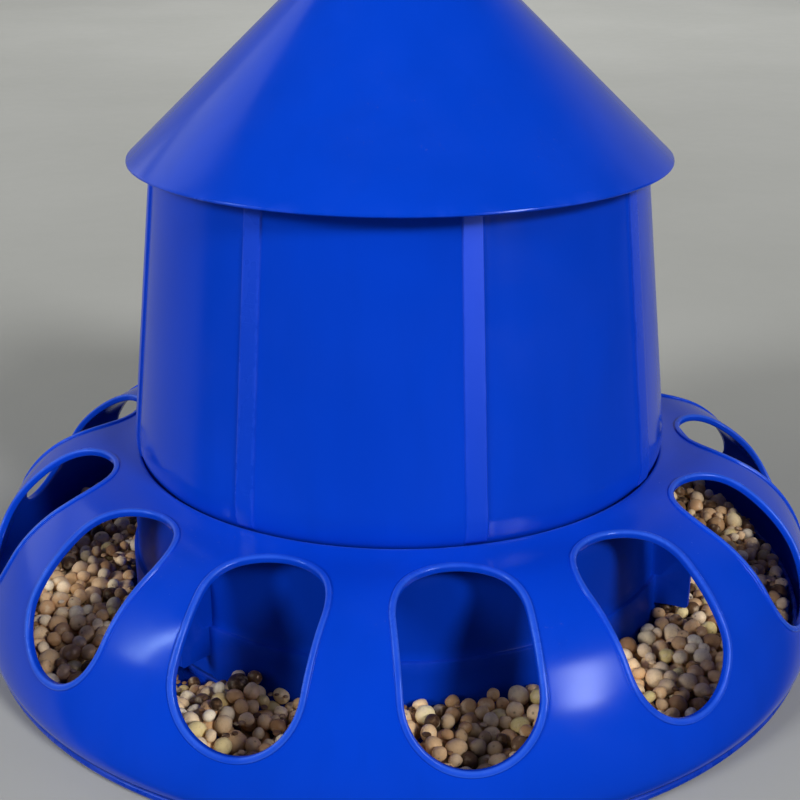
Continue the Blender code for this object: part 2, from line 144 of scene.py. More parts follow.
def fillet(loop, default=0.00035, steps=4):
    """Round the corners of a closed outline of (r, z) or (r, z, radius)."""
    n, out = len(loop), []
    for i in range(n):
        p = np.array(loop[i][:2], float)
        a = np.array(loop[i - 1][:2], float)
        b = np.array(loop[(i + 1) % n][:2], float)
        radius = loop[i][2] if len(loop[i]) > 2 else default
        if p[0] < 1e-7 or radius <= 0.0:
            out.append(tuple(p))
            continue
        u, v = a - p, b - p
        lu, lv = np.hypot(*u), np.hypot(*v)
        u, v = u / lu, v / lv
        turn = math.acos(max(-1.0, min(1.0, float(u @ v))))
        if turn > math.radians(176.0):
            out.append(tuple(p))
            continue
        cut = min(radius / math.tan(turn / 2.0), 0.46 * min(lu, lv))
        radius = cut * math.tan(turn / 2.0)
        mid = (u + v) / np.hypot(*(u + v))
        centre = p + mid * (radius / math.sin(turn / 2.0))
        s, e = p + u * cut - centre, p + v * cut - centre
        s0, e0 = math.atan2(s[1], s[0]), math.atan2(e[1], e[0])
        d = (e0 - s0 + math.pi) % TAU - math.pi
        for k in range(steps + 1):
            t = s0 + d * k / steps
            out.append((centre[0] + radius * math.cos(t),
                        centre[1] + radius * math.sin(t)))
    return out


def dense(loop, step):
    """More points on the long edges of a closed outline."""
    out = []
    for i, p in enumerate(loop):
        q = loop[(i + 1) % len(loop)]
        out.append(p)
        if p[0] < 1e-7 and q[0] < 1e-7:
            continue
        n = int(math.hypot(q[0] - p[0], q[1] - p[1]) / step)
        for k in range(1, n + 1):
            t = k / (n + 1)
            out.append((p[0] + (q[0] - p[0]) * t, p[1] + (q[1] - p[1]) * t))
    return out


def edge_marks(loop, reach=0.0016):
    """How close each outline point is to a convex corner, 0 to 1."""
    pts = np.array(loop, float)
    n = len(pts)
    area = 0.5 * sum(pts[i - 1][0] * pts[i][1] - pts[i][0] * pts[i - 1][1]
                     for i in range(n))
    side = 1.0 if area > 0 else -1.0
    bend = np.zeros(n)
    for i in range(n):
        a, b, c = pts[i - 1], pts[i], pts[(i + 1) % n]
        u, v = b - a, c - b
        lu, lv = np.hypot(*u), np.hypot(*v)
        if lu < 1e-9 or lv < 1e-9:
            continue
        bend[i] = side * (u[0] * v[1] - u[1] * v[0]) / (lu * lv)
    hot = pts[bend > 0.12]
    if not len(hot):
        return np.zeros(n)
    gap = np.min(np.hypot(pts[:, None, 0] - hot[None, :, 0],
                          pts[:, None, 1] - hot[None, :, 1]), axis=1)
    return np.clip(1.0 - gap / reach, 0.0, 1.0)


def turned(name, loop, columns, mat, body, node, sharp=None, phase=0.0):
    loop = [tuple(p[:2]) for p in loop]
    wear_row = edge_marks(loop)
    verts, faces, rows, wear_and_sheen = [], [], [], []
    for (r, z), w in zip(loop, wear_row):
        if r < 1e-7:
            rows.append([len(verts)] * columns)
            verts.append(polar(0.0, 0.0, z))
            wear_and_sheen.append(w)
        else:
            rows.append(list(range(len(verts), len(verts) + columns)))
            verts += [polar(r, phase + TAU * i / columns, z)
                      for i in range(columns)]
            wear_and_sheen += [w] * columns
    n = len(loop)
    for a in range(n):
        top, low = rows[a], rows[(a + 1) % n]
        if top[0] == top[-1] and low[0] == low[-1]:
            continue
        for i in range(columns):
            j = (i + 1) % columns
            ring = [top[i], top[j], low[j], low[i]]
            face = [v for k, v in enumerate(ring) if v not in ring[:k]]
            if len(face) > 2:
                faces.append(face)
    return piece(name, verts, faces, mat, body, node,
                 {"wear_and_sheen": wear_and_sheen}, sharp)


def smooth_step(t):
    t = min(max(t, 0.0), 1.0)
    return t * t * (3.0 - 2.0 * t)


# ---------------------------------------------------------- the ring's face
def smooth_curve(knots, samples):
    """Natural cubic through the knots, spaced by chord length."""
    p = np.array(knots, float)
    t = np.concatenate([[0.0], np.cumsum(np.hypot(*np.diff(p, axis=0).T))])
    n, h = len(t), np.diff(t)
    a = np.zeros((n, n))
    b = np.zeros((n, 2))
    a[0, 0] = a[-1, -1] = 1.0
    for i in range(1, n - 1):
        a[i, i - 1:i + 2] = h[i - 1], 2.0 * (h[i - 1] + h[i]), h[i]
        b[i] = 6.0 * ((p[i + 1] - p[i]) / h[i] - (p[i] - p[i - 1]) / h[i - 1])
    m = np.linalg.solve(a, b)
    out = []
    for x in np.linspace(0.0, t[-1], samples):
        i = min(int(np.searchsorted(t, x, side="right")) - 1, n - 2)
        l, r = t[i + 1] - x, x - t[i]
        out.append(m[i] * l ** 3 / (6 * h[i]) + m[i + 1] * r ** 3 / (6 * h[i])
                   + (p[i] / h[i] - m[i] * h[i] / 6) * l
                   + (p[i + 1] / h[i] - m[i + 1] * h[i] / 6) * r)
    return np.array(out)


DOME = smooth_curve([(1.007, 0.000), (1.055, -0.0125), (1.104, -0.0185),
                     (1.155, -0.0225), (1.205, -0.0310), (1.301, -0.066),
                     (1.387, -0.121), (1.460, -0.190), (1.515, -0.268),
                     (1.557, -0.358), (1.592, -0.462), (1.6095, -0.560),
                     (1.606, -0.618), (1.590, -0.6535)], 3000) * U
DOME_S = np.concatenate([[0.0], np.cumsum(np.hypot(*np.diff(DOME, axis=0).T))])
DOME_LEN = float(DOME_S[-1])


def dome(s, h=0.0):
    s = min(max(s, 0.0), DOME_LEN)
    e = 0.0006
    r, z = np.interp(s, DOME_S, DOME[:, 0]), np.interp(s, DOME_S, DOME[:, 1])
    s0, s1 = max(s - e, 0.0), min(s + e, DOME_LEN)
    dr = np.interp(s1, DOME_S, DOME[:, 0]) - np.interp(s0, DOME_S, DOME[:, 0])
    dz = np.interp(s1, DOME_S, DOME[:, 1]) - np.interp(s0, DOME_S, DOME[:, 1])
    size = math.hypot(dr, dz)
    return r - h * dz / size, z + h * dr / size


def spread(path, count):
    p = np.array(path)
    d = np.concatenate([[0.0], np.cumsum(np.hypot(*np.diff(p, axis=0).T))])
    t = np.linspace(0.0, d[-1], count + 1)
    return np.c_[np.interp(t, d, p[:, 0]), np.interp(t, d, p[:, 1])]


def port_outline(across, down):
    s1, s2 = PORT_TOP + PORT_TOP_RISE, PORT_FOOT - PORT_FOOT_R

    def head(a):
        return (s1 - PORT_TOP_RISE * math.cos(a), PORT_TOP_HALF * math.sin(a))

    def foot(a):
        return (s2 + PORT_FOOT_R * math.cos(a), PORT_FOOT_R * math.sin(a))

    q = math.pi / 4.0
    fan = [i / 160.0 for i in range(161)]
    top = [head(-q + 2 * q * t) for t in fan]
    right = ([head(q + q * t) for t in fan]
             + [foot(2 * q - q * t) for t in fan])
    low = [foot(q - 2 * q * t) for t in fan]
    left = [(s, -w) for s, w in reversed(right)]
    loop = []
    for path, n in ((top, across), (right, down), (low, across), (left, down)):
        loop += [tuple(p) for p in spread(path, n)[:-1]]
    return loop


def outward(loop):
    n, out = len(loop), []
    for i in range(n):
        ds = loop[(i + 1) % n][0] - loop[i - 1][0]
        dw = loop[(i + 1) % n][1] - loop[i - 1][1]
        size = math.hypot(ds, dw)
        out.append((-dw / size, ds / size))
    return out


def build_ring(mat):
    across, down = 24, 32
    columns = PORTS * across
    loop = port_outline(across, down)
    norm = outward(loop)
    count = len(loop)
    half = PITCH / 2.0
    rim = []
    for k in range(count):
        if k < across:
            rim.append((FACE_TOP, -half + PITCH * k / across))
        elif k < across + down:
            rim.append((FACE_TOP + (FACE_FOOT - FACE_TOP)
                        * (k - across) / down, half))
        elif k < 2 * across + down:
            rim.append((FACE_FOOT, half - PITCH
                        * (k - across - down) / across))
        else:
            rim.append((FACE_FOOT - (FACE_FOOT - FACE_TOP)
                        * (k - 2 * across - down) / down, -half))
    radius_at = [dome(p[0])[0] for p in loop]

    verts, faces, known, wear_and_sheen = [], [], {}, []

    def place(key, xyz, w):
        if key not in known:
            known[key] = len(verts)
            verts.append(xyz)
            wear_and_sheen.append(w)
        return known[key]

    def point(s, angle, h, w=0.0):
        key = (round(s, 7), round(angle % TAU, 6) % round(TAU, 6), round(h, 7))
        if key in known:
            return known[key]
        r, z = dome(s, h)
        return place(key, polar(r, angle, z), w)

    # across the bead, from the face outside it to the inner edge of the hole
    # each row: distance across, height, and the edge mark that drives rubbed wear and the
    # painted crest highlight
    bead = [(1.20, 0.000, 0.0), (1.15, -0.015, 0.0), (1.10, -0.020, 0.0),
            (1.06, 0.010, 0.0), (1.025, 0.090, 0.1), (0.99, 0.230, 0.3),
            (0.95, 0.400, 0.7), (0.90, 0.560, 1.0), (0.84, 0.670, 1.0),
            (0.76, 0.730, 0.9), (0.64, 0.745, 0.7), (0.52, 0.745, 0.7),
            (0.44, 0.730, 0.8), (0.29, 0.670, 0.9), (0.188, 0.549, 1.0),
            (0.103, 0.373, 1.0), (0.041, 0.153, 0.9), (0.010, -0.062, 0.6),
            (0.00, -0.30, 0.3), (0.00, -0.80, 0.1), (0.00, -1.40, 0.0),
            (0.02, -1.80, 0.2), (0.10, -2.00, 0.3)]
    bead = [(d * BEAD_W, h * BEAD_H, w) for d, h, w in bead]
    start_d = bead[0][0]

    def bead_point(k, d, h, w):
        s = loop[k][0] + norm[k][0] * d
        a = (loop[k][1] + norm[k][1] * d) / radius_at[k]
        return s, a, h, w

    def blend_rows(d, h, steps, ease):
        rows = []
        for j in range(1, steps + 1):
            t = (j / steps) ** ease
            row = []
            for k in range(count):
                s, a, _, _ = bead_point(k, d, h, 0.0)
                row.append((s + (rim[k][0] - s) * t,
                            a + (rim[k][1] - a) * t, h, 0.0))
            rows.append(row)
        return rows

    sector = list(reversed(blend_rows(start_d, 0.0, 10, 1.25)))
    sector += [[bead_point(k, d, h, w) for k in range(count)]
               for d, h, w in bead]
    sector += blend_rows(0.35 * BEAD_W, -RING_T, 7, 1.2)
    for p in range(PORTS):
        turn = PORT_0 + PITCH * p
        rows = [[point(s, turn + a, h, w) for s, a, h, w in row]
                for row in sector]
        for top, low in zip(rows[:-1], rows[1:]):
            for k in range(count):
                m = (k + 1) % count
                faces.append([top[k], top[m], low[m], low[k]])

    start = PORT_0 - half
    per = across // 6                         # fine columns in a CAD column

    def column(i):
        angle = start + TAU * i / columns
        c = (i / per) % 26
        bore = NOTCH_R if 3.49 <= c <= 7.51 else FLANGE_R
        upper = [point(FACE_TOP * (1 - j / 8.0), angle, 0.0, 0.0)
                 for j in range(8)]
        lip = [(1.0070, 0.0000, 0.3), (1.0030, 0.0003, 0.8),
               (0.9985, -0.0004, 1.0), (0.9950, -0.0020, 1.0),
               (0.9926, -0.0048, 0.8), (0.9912, -0.0090, 0.3),
               (0.9907, -0.0150, 0.0), (0.9907, -0.0250, 0.0),
               (0.9910, -0.0420, 0.0)]
        lip = [(r * U, z * U, w) for r, z, w in lip]
        lip += [(LIP_R, FLANGE_TOP, 0.0), (bore + 0.0002, FLANGE_TOP, 0.0),
                (bore, FLANGE_TOP - 0.0002, 0.0),
                (bore, FLANGE_FOOT + 0.0002, 0.0),
                (bore + 0.0002, FLANGE_FOOT, 0.0),
                (0.9895 * U, FLANGE_FOOT - 0.0002, 0.0)]
        for j, (r, z, w) in enumerate(lip):
            upper.append(place(("lip", i % columns, j), polar(r, angle, z), w))
        upper += [point(0.4 * FACE_TOP, angle, -RING_T),
                  point(FACE_TOP, angle, -RING_T)]
        s1 = DOME_LEN - 0.0006
        lower = [point(FACE_FOOT + (s1 - FACE_FOOT) * j / 9.0, angle, 0.0)
                 for j in range(10)]
        foot = []
        r1, z1 = dome(DOME_LEN)
        for k in range(7):                    # rounded foot edge
            a = math.pi * k / 6.0
            foot.append((r1 - RING_T / 2.0 + RING_T / 2.0 * math.cos(a),
                         z1 + 0.0006 - 0.0006 * math.sin(a), 0.6))
        for j, (r, z, w) in enumerate(foot):
            lower.append(place(("foot", i % columns, j),
                               polar(r, angle, z), w))
        lower += [point(s, angle, -RING_T)
                  for s in (0.985 * DOME_LEN, 0.94 * U, 0.90 * U, FACE_FOOT)]
        return upper, lower

    table = [column(i) for i in range(columns)]
    for i in range(columns):
        for a, b in zip(table[i], table[(i + 1) % columns]):
            for k in range(len(a) - 1):
                faces.append([a[k], b[k], b[k + 1], a[k + 1]])
    return piece("port_ring_shell", verts, faces, mat, "ring", "port_ring",
                 {"wear_and_sheen": wear_and_sheen})


def build_sleeve(mat):
    inner = SLEEVE_R - SLEEVE_T
    columns = 312
    start = PORT_0 - PITCH / 2.0
    verts, rows, wear_and_sheen = [], [], []
    for i in range(columns):
        angle = start + TAU * i / columns
        c = (i / 4.0) % 26
        wide = LUG_R if 0.49 <= c <= 2.51 else SLEEVE_R + 0.00002
        loop = [(SPIGOT_R - SLEEVE_T, SLEEVE_TOP, 0),
                (SPIGOT_R - 0.0012, SLEEVE_TOP, 0),
                (SPIGOT_R - 0.0007, SLEEVE_TOP - 0.0001, 0),
                (SPIGOT_R, SLEEVE_TOP - 0.0012, 0), (SPIGOT_R, 0.03 * U, 0),
                (SPIGOT_R, -0.0255 * U, 0), (0.982 * U, -0.0255 * U, 0),
                (0.984 * U, -0.0275 * U, 0), (0.984 * U, -0.0400 * U, 0),
                (0.982 * U, -0.0418 * U, 0), (SLEEVE_R, -0.0418 * U, 0),
                (SLEEVE_R, LUG_TOP + 0.0002, 0),
                (wide, LUG_TOP, 0), (wide, LUG_FOOT, 0),
                (SLEEVE_R, LUG_FOOT - 0.0002, 0)]
        loop += [(SLEEVE_R, LUG_FOOT + (SLEEVE_FOOT + 0.0006 - LUG_FOOT)
                  * k / 12.0, 0) for k in range(1, 12)]
        loop += [(SLEEVE_R, SLEEVE_FOOT + 0.0006, 0.3),
                 (SLEEVE_R - 0.0002, SLEEVE_FOOT + 0.0002, 1.0),
                 (SLEEVE_R - 0.0006, SLEEVE_FOOT, 0.6),
                 (inner + 0.0006, SLEEVE_FOOT, 0.4),
                 (inner + 0.0001, SLEEVE_FOOT + 0.0002, 0.6),
                 (inner, SLEEVE_FOOT + 0.0006, 0.2),
                 (inner, -0.30 * U, 0), (inner, -0.18 * U, 0),
                 (SPIGOT_R - SLEEVE_T, -0.02 * U, 0)]
        rows.append(list(range(len(verts), len(verts) + len(loop))))
        verts += [polar(r, angle, z) for r, z, _ in loop]
        wear_and_sheen += [w for _, _, w in loop]
    faces = []
    n = len(rows[0])
    for i in range(columns):
        a, b = rows[i], rows[(i + 1) % columns]
        for k in range(n):
            faces.append([a[k], b[k], b[(k + 1) % n], a[(k + 1) % n]])
    return piece("flow_sleeve_shell", verts, faces, mat, "sleeve",
                 "flow_sleeve", {"wear_and_sheen": wear_and_sheen}, 40.0)


def barrel_radius(z):
    straight = U + (BARREL_TOP_R - U) * (z - 0.09 * U) / (BARREL_TOP_Z - 0.09 * U)
    if z >= 0.09 * U:
        return straight
    t = (0.09 * U - z) / (0.112 * U)
    return U - 0.031 * U * t ** 4.0 + 0.001 * U * t


def build_barrel(mat):
    levels = [-0.0220, -0.0200, -0.0170, -0.0130, -0.0080, -0.0030, 0.0020,
              0.0070, 0.0120, 0.0200, 0.0300, 0.0400, 0.0500, 0.0620, 0.0760,
              0.0900]
    levels += [0.09 + (1.132 - 0.09) * k / 44.0 for k in range(1, 45)]
    half = 0.5 * RIB_W / U
    edge = 0.0088
    plan, rib_rough_and_highlights = [], []
    profile = [(-1.0, 0.0), (-0.82, 0.06), (-0.62, 0.26), (-0.42, 0.60),
               (-0.22, 0.88), (0.0, 1.0)]
    for k in range(RIBS):
        mid = RIB_0 + TAU * k / RIBS
        first = len(plan)
        plan += [(mid - half + edge * t, c, e) for (t, c), e in
                 zip(profile, (0.0, 0.0, 0.2, 0.6, 1.0, 1.0))]
        plan += [(mid - half + edge * 0.30, 1.0, 0.5)]
        plan += [(mid + half * t, 1.0, 0.0) for t in
                 (-0.66, -0.44, -0.22, 0.0, 0.22, 0.44, 0.66)]
        plan += [(mid + half - edge * 0.30, 1.0, 0.5)]
        plan += [(mid + half - edge * t, c, e) for (t, c), e in
                 zip(reversed(profile), (1.0, 1.0, 0.6, 0.2, 0.0, 0.0))]
        a0, a1 = mid + half + edge, mid + TAU / RIBS - half - edge
        plan += [(a0 + (a1 - a0) * j / 26.0, 0.0, 0.0) for j in range(1, 26)]
        # per rib: how much rougher its face is and how strong the painted highlight on it is;
        # the front-right rib gets the most
        rib_rough_and_highlight = (1.0, 0.45, 0.6, 0.4, 0.7, 0.5, 0.6, 0.30)[k]
        rib_rough_and_highlights += [rib_rough_and_highlight] * (len(plan) - first)
    verts, rows, wear_and_sheen, rib = [], [], [], []
    for (angle, crest, corner), rib_rough_and_highlight in zip(plan, rib_rough_and_highlights):
        loop = []
        for level in levels:
            z = level * U
            rise = smooth_step((level + 0.006) / 0.022)
            loop.append((barrel_radius(z) + RIB_H * crest * rise, z,
                         corner * rise, crest * rise * rib_rough_and_highlight))
        r_top = barrel_radius(1.132 * U) + RIB_H * crest
        loop += [(r_top - 0.0004, 1.1338 * U, corner, crest * 0.6),
                 (BARREL_TOP_R + RIB_H * crest * 0.25, 1.1352 * U, 0.3, 0.0),
                 (BARREL_TOP_R, 1.139 * U, 0.4, 0.0),
                 (BARREL_TOP_R - 0.0001, BARREL_TOP_Z - 0.0004, 0.8, 0.0),
                 (BARREL_TOP_R - 0.0006, BARREL_TOP_Z, 1.0, 0.0),
                 (BARREL_TOP_R - BARREL_T + 0.0006, BARREL_TOP_Z, 0.7, 0.0),
                 (BARREL_TOP_R - BARREL_T + 0.0001, BARREL_TOP_Z - 0.0004,
                  0.4, 0.0)]
        inner = [1.132 - (1.132 - 0.10) * k / 14.0 for k in range(15)]
        inner += [0.06, 0.03, 0.0, -0.018]
        loop += [(barrel_radius(l * U) - BARREL_T, l * U, 0.0, 0.0)
                 for l in inner]
        loop += [(barrel_radius(-0.022 * U) - BARREL_T + 0.0004,
                  -0.0220 * U, 0.0, 0.0)]
        rows.append(list(range(len(verts), len(verts) + len(loop))))
        verts += [polar(r, angle, z) for r, z, _, _ in loop]
        wear_and_sheen += [w for _, _, w, _ in loop]
        rib += [b for _, _, _, b in loop]
    faces = []
    n = len(rows[0])
    for i in range(len(rows)):
        a, b = rows[i], rows[(i + 1) % len(rows)]
        for k in range(n):
            faces.append([a[k], b[k], b[(k + 1) % n], a[(k + 1) % n]])
    return piece("hopper_barrel_shell", verts, faces, mat, "hopper",
                 "hopper_barrel",
                 {"wear_and_sheen": wear_and_sheen, "rib": rib})


def lid_outer(r):
    return LID_Z + LID_H * (1.0 - r / LID_R)


def build_lid(mat):
    crown_z = lid_outer(CROWN_R) + 0.012 * U
    drop = LID_T * math.hypot(1.0, LID_H / LID_R)

    def under(r):
        return lid_outer(r) - drop

    spigot_out, spigot_in = 0.845 * U, 0.829 * U
    loop = [(0.0025, crown_z, 0.0003), (0.11 * U, crown_z - 0.0001, 0.002),
            (0.134 * U, crown_z - 0.0008, 0.0012),
            (CROWN_R, lid_outer(CROWN_R), 0.0030),
            (LID_R - 0.0002, LID_Z + 0.0012, 0.0006),
            (LID_R, LID_Z + 0.0004, 0.0004),
            (LID_R - 0.0006, LID_Z, 0.0004),
            (LID_R - 0.0024, LID_Z, 0.0006),
            (0.90 * LID_R, under(0.90 * LID_R), 0.0),
            (spigot_out, under(spigot_out), 0.0004),
            (spigot_out - 0.0003, 1.095 * U, 0.0004),
            (spigot_in + 0.0003, 1.095 * U, 0.0004),
            (spigot_in, under(spigot_in), 0.0004),
            (0.45 * LID_R, under(0.45 * LID_R), 0.0),
            (CROWN_R, under(CROWN_R) - 0.0002, 0.002),
            (0.130 * U, crown_z - 0.0026, 0.001),
            (0.0025, crown_z - 0.0026, 0.0002)]
    loop = dense(fillet(loop, steps=5), 0.0040)
    turned("rain_lid_shell", loop, 320, mat, "lid", "rain_lid")
    return crown_z


def build_knob(mat, crown_z):
    base = crown_z + 0.0003
    h = 0.255 * U
    shape = smooth_curve([(0.0, h), (0.062 * U, h - 0.002 * U),
                          (0.118 * U, h - 0.014 * U),
                          (0.160 * U, h - 0.042 * U),
                          (0.176 * U, h - 0.080 * U),
                          (0.166 * U, h - 0.115 * U),
                          (0.130 * U, h - 0.150 * U),
                          (0.096 * U, h - 0.182 * U),
                          (0.090 * U, h - 0.210 * U),
                          (0.096 * U, 0.020 * U)], 70)
    shape[:, 0] = np.clip(shape[:, 0], 0.0, 0.176 * U)
    shape[:, 1] = np.clip(shape[:, 1], 0.0, h)
    shape[0, 0] = 0.0
    outline = [(float(r), base + float(z)) for r, z in shape]
    outline += [(0.099 * U, base + 0.010 * U), (0.104 * U, base + 0.004 * U),
                (0.105 * U, base + 0.0002), (0.104 * U, base),
                (0.0026, base), (0.0023, base + 0.0003),
                (0.0023, base + 0.0170), (0.0, base + 0.0172)]
    turned("lid_knob_shell", outline, 128, mat, "lid", "lid_knob",
           60.0)


def build_pan(mat):
    foot = -0.700 * U
    loop = [(PAN_WALL_IN + 0.0004, PAN_WALL_TOP, 0.0005),
            (PAN_WALL_OUT - 0.0004, PAN_WALL_TOP, 0.0005),
            (PAN_WALL_OUT, PAN_WALL_TOP - 0.0006, 0.0003),
            (PAN_WALL_OUT, -0.6565 * U, 0.0003),
            (PAN_R - 0.0012, -0.6565 * U, 0.0006),
            (PAN_R, -0.664 * U, 0.0006), (PAN_R, -0.678 * U, 0.001),
            (PAN_R - 0.011 * U, -0.693 * U, 0.002),
            (PAN_R - 0.030 * U, foot, 0.0008),
            (1.430 * U, foot, 0.0008), (1.415 * U, -0.6845 * U, 0.0008),
            (0.720 * U, -0.6845 * U, 0.0),
            (0.0, -0.6845 * U), (0.0, PAN_FLOOR),
            (0.700 * U, PAN_FLOOR, 0.0004), (0.700 * U, -0.640 * U),
            (0.716 * U, -0.640 * U), (0.716 * U, PAN_FLOOR, 0.0004),
            (0.999 * U, PAN_FLOOR, 0.0004), (0.999 * U, -0.636 * U),
            (1.016 * U, -0.636 * U), (1.016 * U, PAN_FLOOR, 0.0004),
            (1.505 * U, PAN_FLOOR, 0.006), (1.530 * U, -0.652 * U, 0.003),
            (PAN_WALL_IN, -0.635 * U, 0.003),
            (PAN_WALL_IN, PAN_WALL_TOP - 0.0006, 0.0003)]
    turned("feed_pan_shell", dense(fillet(loop, steps=3), 0.008), 300, mat,
           "base", "feed_pan", 50.0)


def build_well(mat):
    foot = PAN_FLOOR + 0.0003
    arch_top = -0.592 * U
    columns = []
    offs = [(k / 8.0 * 0.18, 0.0) for k in range(8)] + [(0.18, 0.0)]
    for k in range(25):
        t = k / 24.0
        rise = max(0.0, 1.0 - abs(2.0 * t - 1.0) ** 2.6) ** (1 / 2.6)
        offs.append((0.1801 + 0.6398 * t, 0.55 + 0.45 * rise))
    offs += [(0.82, 0.0)] + [(0.82 + 0.18 * k / 8.0, 0.0) for k in range(1, 8)]
    for k in range(OUTLETS):
        for off, lift in offs:
            columns.append((360.0 * (k + off) / OUTLETS % 360.0,
                            foot + (arch_top - foot) * lift, 0.0))
    half = math.degrees(0.5 * FIN_T / (1.10 * U))
    for fin in FINS:
        fin %= 360.0
        near = [c for c in columns if abs(c[0] - fin) > half + 0.5]
        low = max((c for c in near if c[0] < fin), key=lambda c: c[0])[1]
        # a small root radius either side, then the two faces of the fin
        columns = near + [(fin + side * (half + off), low, grow)
                          for side in (-1.0, 1.0)
                          for off, grow in ((0.36, 0.0), (0.20, 0.004),
                                            (0.09, 0.014), (0.03, 0.034),
                                            (0.0, 1.0), (-0.14, 1.0))]
        columns.append((fin, low, 1.0))
    columns.sort()
    inner, wide = WELL_R - WELL_T, OUTLET_OUT - WELL_T
    fin_line = [(WELL_R, FIN_TOP, 0.3), (1.060 * U, FIN_TOP, 0.6),
                (1.090 * U, FIN_TOP, 0.7), (FIN_R - 0.050 * U, FIN_TOP, 0.8),
                (FIN_R - 0.031 * U, FIN_TOP - 0.004 * U, 0.9),
                (FIN_R - 0.015 * U, FIN_TOP - 0.015 * U, 0.9),
                (FIN_R - 0.004 * U, FIN_TOP - 0.031 * U, 0.9),
                (FIN_R, FIN_TOP - 0.050 * U, 0.9), (FIN_R, -0.340 * U, 0.5),
                (FIN_R, -0.430 * U, 0.5), (FIN_R, FIN_FOOT + 0.008 * U, 0.9),
                (FIN_R - 0.008 * U, FIN_FOOT, 0.9), (1.100 * U, FIN_FOOT, 0.5)]
    verts, rows, wear_and_sheen = [], [], []
    for angle, low, grow in columns:
        plain = [(WELL_R, WELL_TOP - 0.0006, 0.6), (WELL_R, -0.130 * U, 0.0),
                 (WELL_R, -0.190 * U, 0.0), (WELL_R, -0.250 * U, 0.0),
                 (WELL_R, -0.310 * U, 0.0), (WELL_R, -0.360 * U, 0.0),
                 (WELL_R, STEP_Z + 0.0005, 0.0),
                 (WELL_R + 0.0003, STEP_Z + 0.0001, 0.2),
                 (OUTLET_OUT - 0.0006, STEP_Z, 0.8),
                 (OUTLET_OUT - 0.00018, STEP_Z - 0.00018, 1.0),
                 (OUTLET_OUT, STEP_Z - 0.0006, 0.7),
                 (OUTLET_OUT, -0.450 * U, 0.0), (OUTLET_OUT, FIN_FOOT, 0.0)]
        if grow >= 1.0:
            outer = fin_line
        else:
            outer = [(r + grow * U, z, w) for r, z, w in plain]
        loop = [(inner + 0.0003, WELL_TOP, 0.4),
                (WELL_R - 0.0006, WELL_TOP, 0.6)] + outer
        loop += [(OUTLET_OUT, FIN_FOOT - 0.0005, 0.0),
                 (OUTLET_OUT, -0.560 * U, 0.0), (OUTLET_OUT, low, 0.3),
                 (wide, low, 0.3), (wide, -0.560 * U, 0.0),
                 (wide, STEP_Z - 0.0030, 0.0),
                 (inner, STEP_Z - 0.0006, 0.0),
                 (inner, -0.250 * U, 0.0), (inner, WELL_TOP - 0.0003, 0.2)]
        rows.append(list(range(len(verts), len(verts) + len(loop))))
        turn = math.radians(angle)
        verts += [polar(r, turn, z) for r, z, _ in loop]
        wear_and_sheen += [w for _, _, w in loop]
    faces = []
    n = len(rows[0])
    for i in range(len(rows)):
        a, b = rows[i], rows[(i + 1) % len(rows)]
        for k in range(n):
            faces.append([a[k], b[k], b[(k + 1) % n], a[(k + 1) % n]])
    piece("feed_well_shell", verts, faces, mat, "base", "feed_well",
          {"wear_and_sheen": wear_and_sheen}, 40.0)


def build_cone(mat):
    foot = PAN_FLOOR + 0.0003
    t = 0.0020
    loop = [(0.0, CONE_TOP), (0.045 * U, CONE_TOP - 0.010 * U, 0.004),
            (0.085 * U, CONE_TOP - 0.045 * U, 0.006),
            (0.45 * U, CONE_TOP - 0.255 * U, 0.02),
            (CONE_R - 0.02 * U, foot + 0.040 * U, 0.001),
            (CONE_R, foot + 0.018 * U, 0.001), (CONE_R, foot, 0.0004),
            (CONE_R - t, foot, 0.0004),
            (CONE_R - t - 0.03 * U, foot + 0.022 * U, 0.001),
            (0.43 * U, CONE_TOP - 0.275 * U, 0.02),
            (0.075 * U, CONE_TOP - 0.066 * U, 0.004),
            (0.0, CONE_TOP - 0.040 * U)]
    turned("feed_cone_shell", dense(fillet(loop, steps=4), 0.006), 200, mat,
           "base", "feed_cone", 50.0)


# -------------------------------------------------------------------- grain
def grain_shapes(rng):
    """Unit grains in two finenesses: round, slightly flattened, dimpled at
    the scar, some wrinkled or pear shaped."""
    sets = []
    for level in (3, 2):
        bm = bmesh.new()
        bmesh.ops.create_icosphere(bm, subdivisions=level, radius=1.0)
        v = np.array([p.co[:] for p in bm.verts])
        f = np.array([[q.index for q in p.verts] for p in bm.faces])
        bm.free()
        sets.append((v, f))
    makers = []
    for kind in range(9):
        squash = rng.uniform(0.84, 0.98)
        long = rng.uniform(1.0, 1.13)
        dimple = rng.uniform(0.03, 0.13)
        pear = rng.uniform(-0.10, 0.10)
        lumps = [(rng.uniform(0.01, 0.035),
                  np.array([rng.gauss(0, 1) for _ in range(3)]),
                  rng.uniform(0.0, TAU)) for _ in range(5)]
        makers.append((squash, long, dimple, pear, lumps))
    out = []
    for squash, long, dimple, pear, lumps in makers:
        pair = []
        for v, f in sets:
            p = v.copy()
            scar = np.exp(-((v[:, 0] ** 2 + v[:, 1] ** 2) / 0.10)) \
                * (v[:, 2] > 0)
            r = np.ones(len(v)) - dimple * scar
            for amp, way, ph in lumps:
                r += amp * np.sin(2.3 * (v @ way) + ph)
            p *= r[:, None]
            p[:, 0] *= long * (1.0 + pear * v[:, 2])
            p[:, 1] *= 1.0 + pear * v[:, 2]
            p[:, 2] *= squash
            pair.append((p, f, scar))
        out.append(pair)
    return out


# where the feed lies higher or lower: angle, half width, rise in barrel radii
HEAPS = ((0.0, 9.0, 0.004), (25.0, 8.0, 0.016), (-17.0, 5.0, -0.030),
         (-28.0, 4.0, 0.034), (-39.5, 6.0, -0.070), (-46.0, 5.0, -0.070),
         (52.0, 9.0, 0.012),
         (80.0, 12.0, -0.006), (112.0, 16.0, 0.014), (150.0, 18.0, -0.014),
         (-62.0, 9.0, 0.010), (-86.0, 12.0, -0.012), (-120.0, 16.0, 0.016),
         (-158.0, 14.0, -0.012))


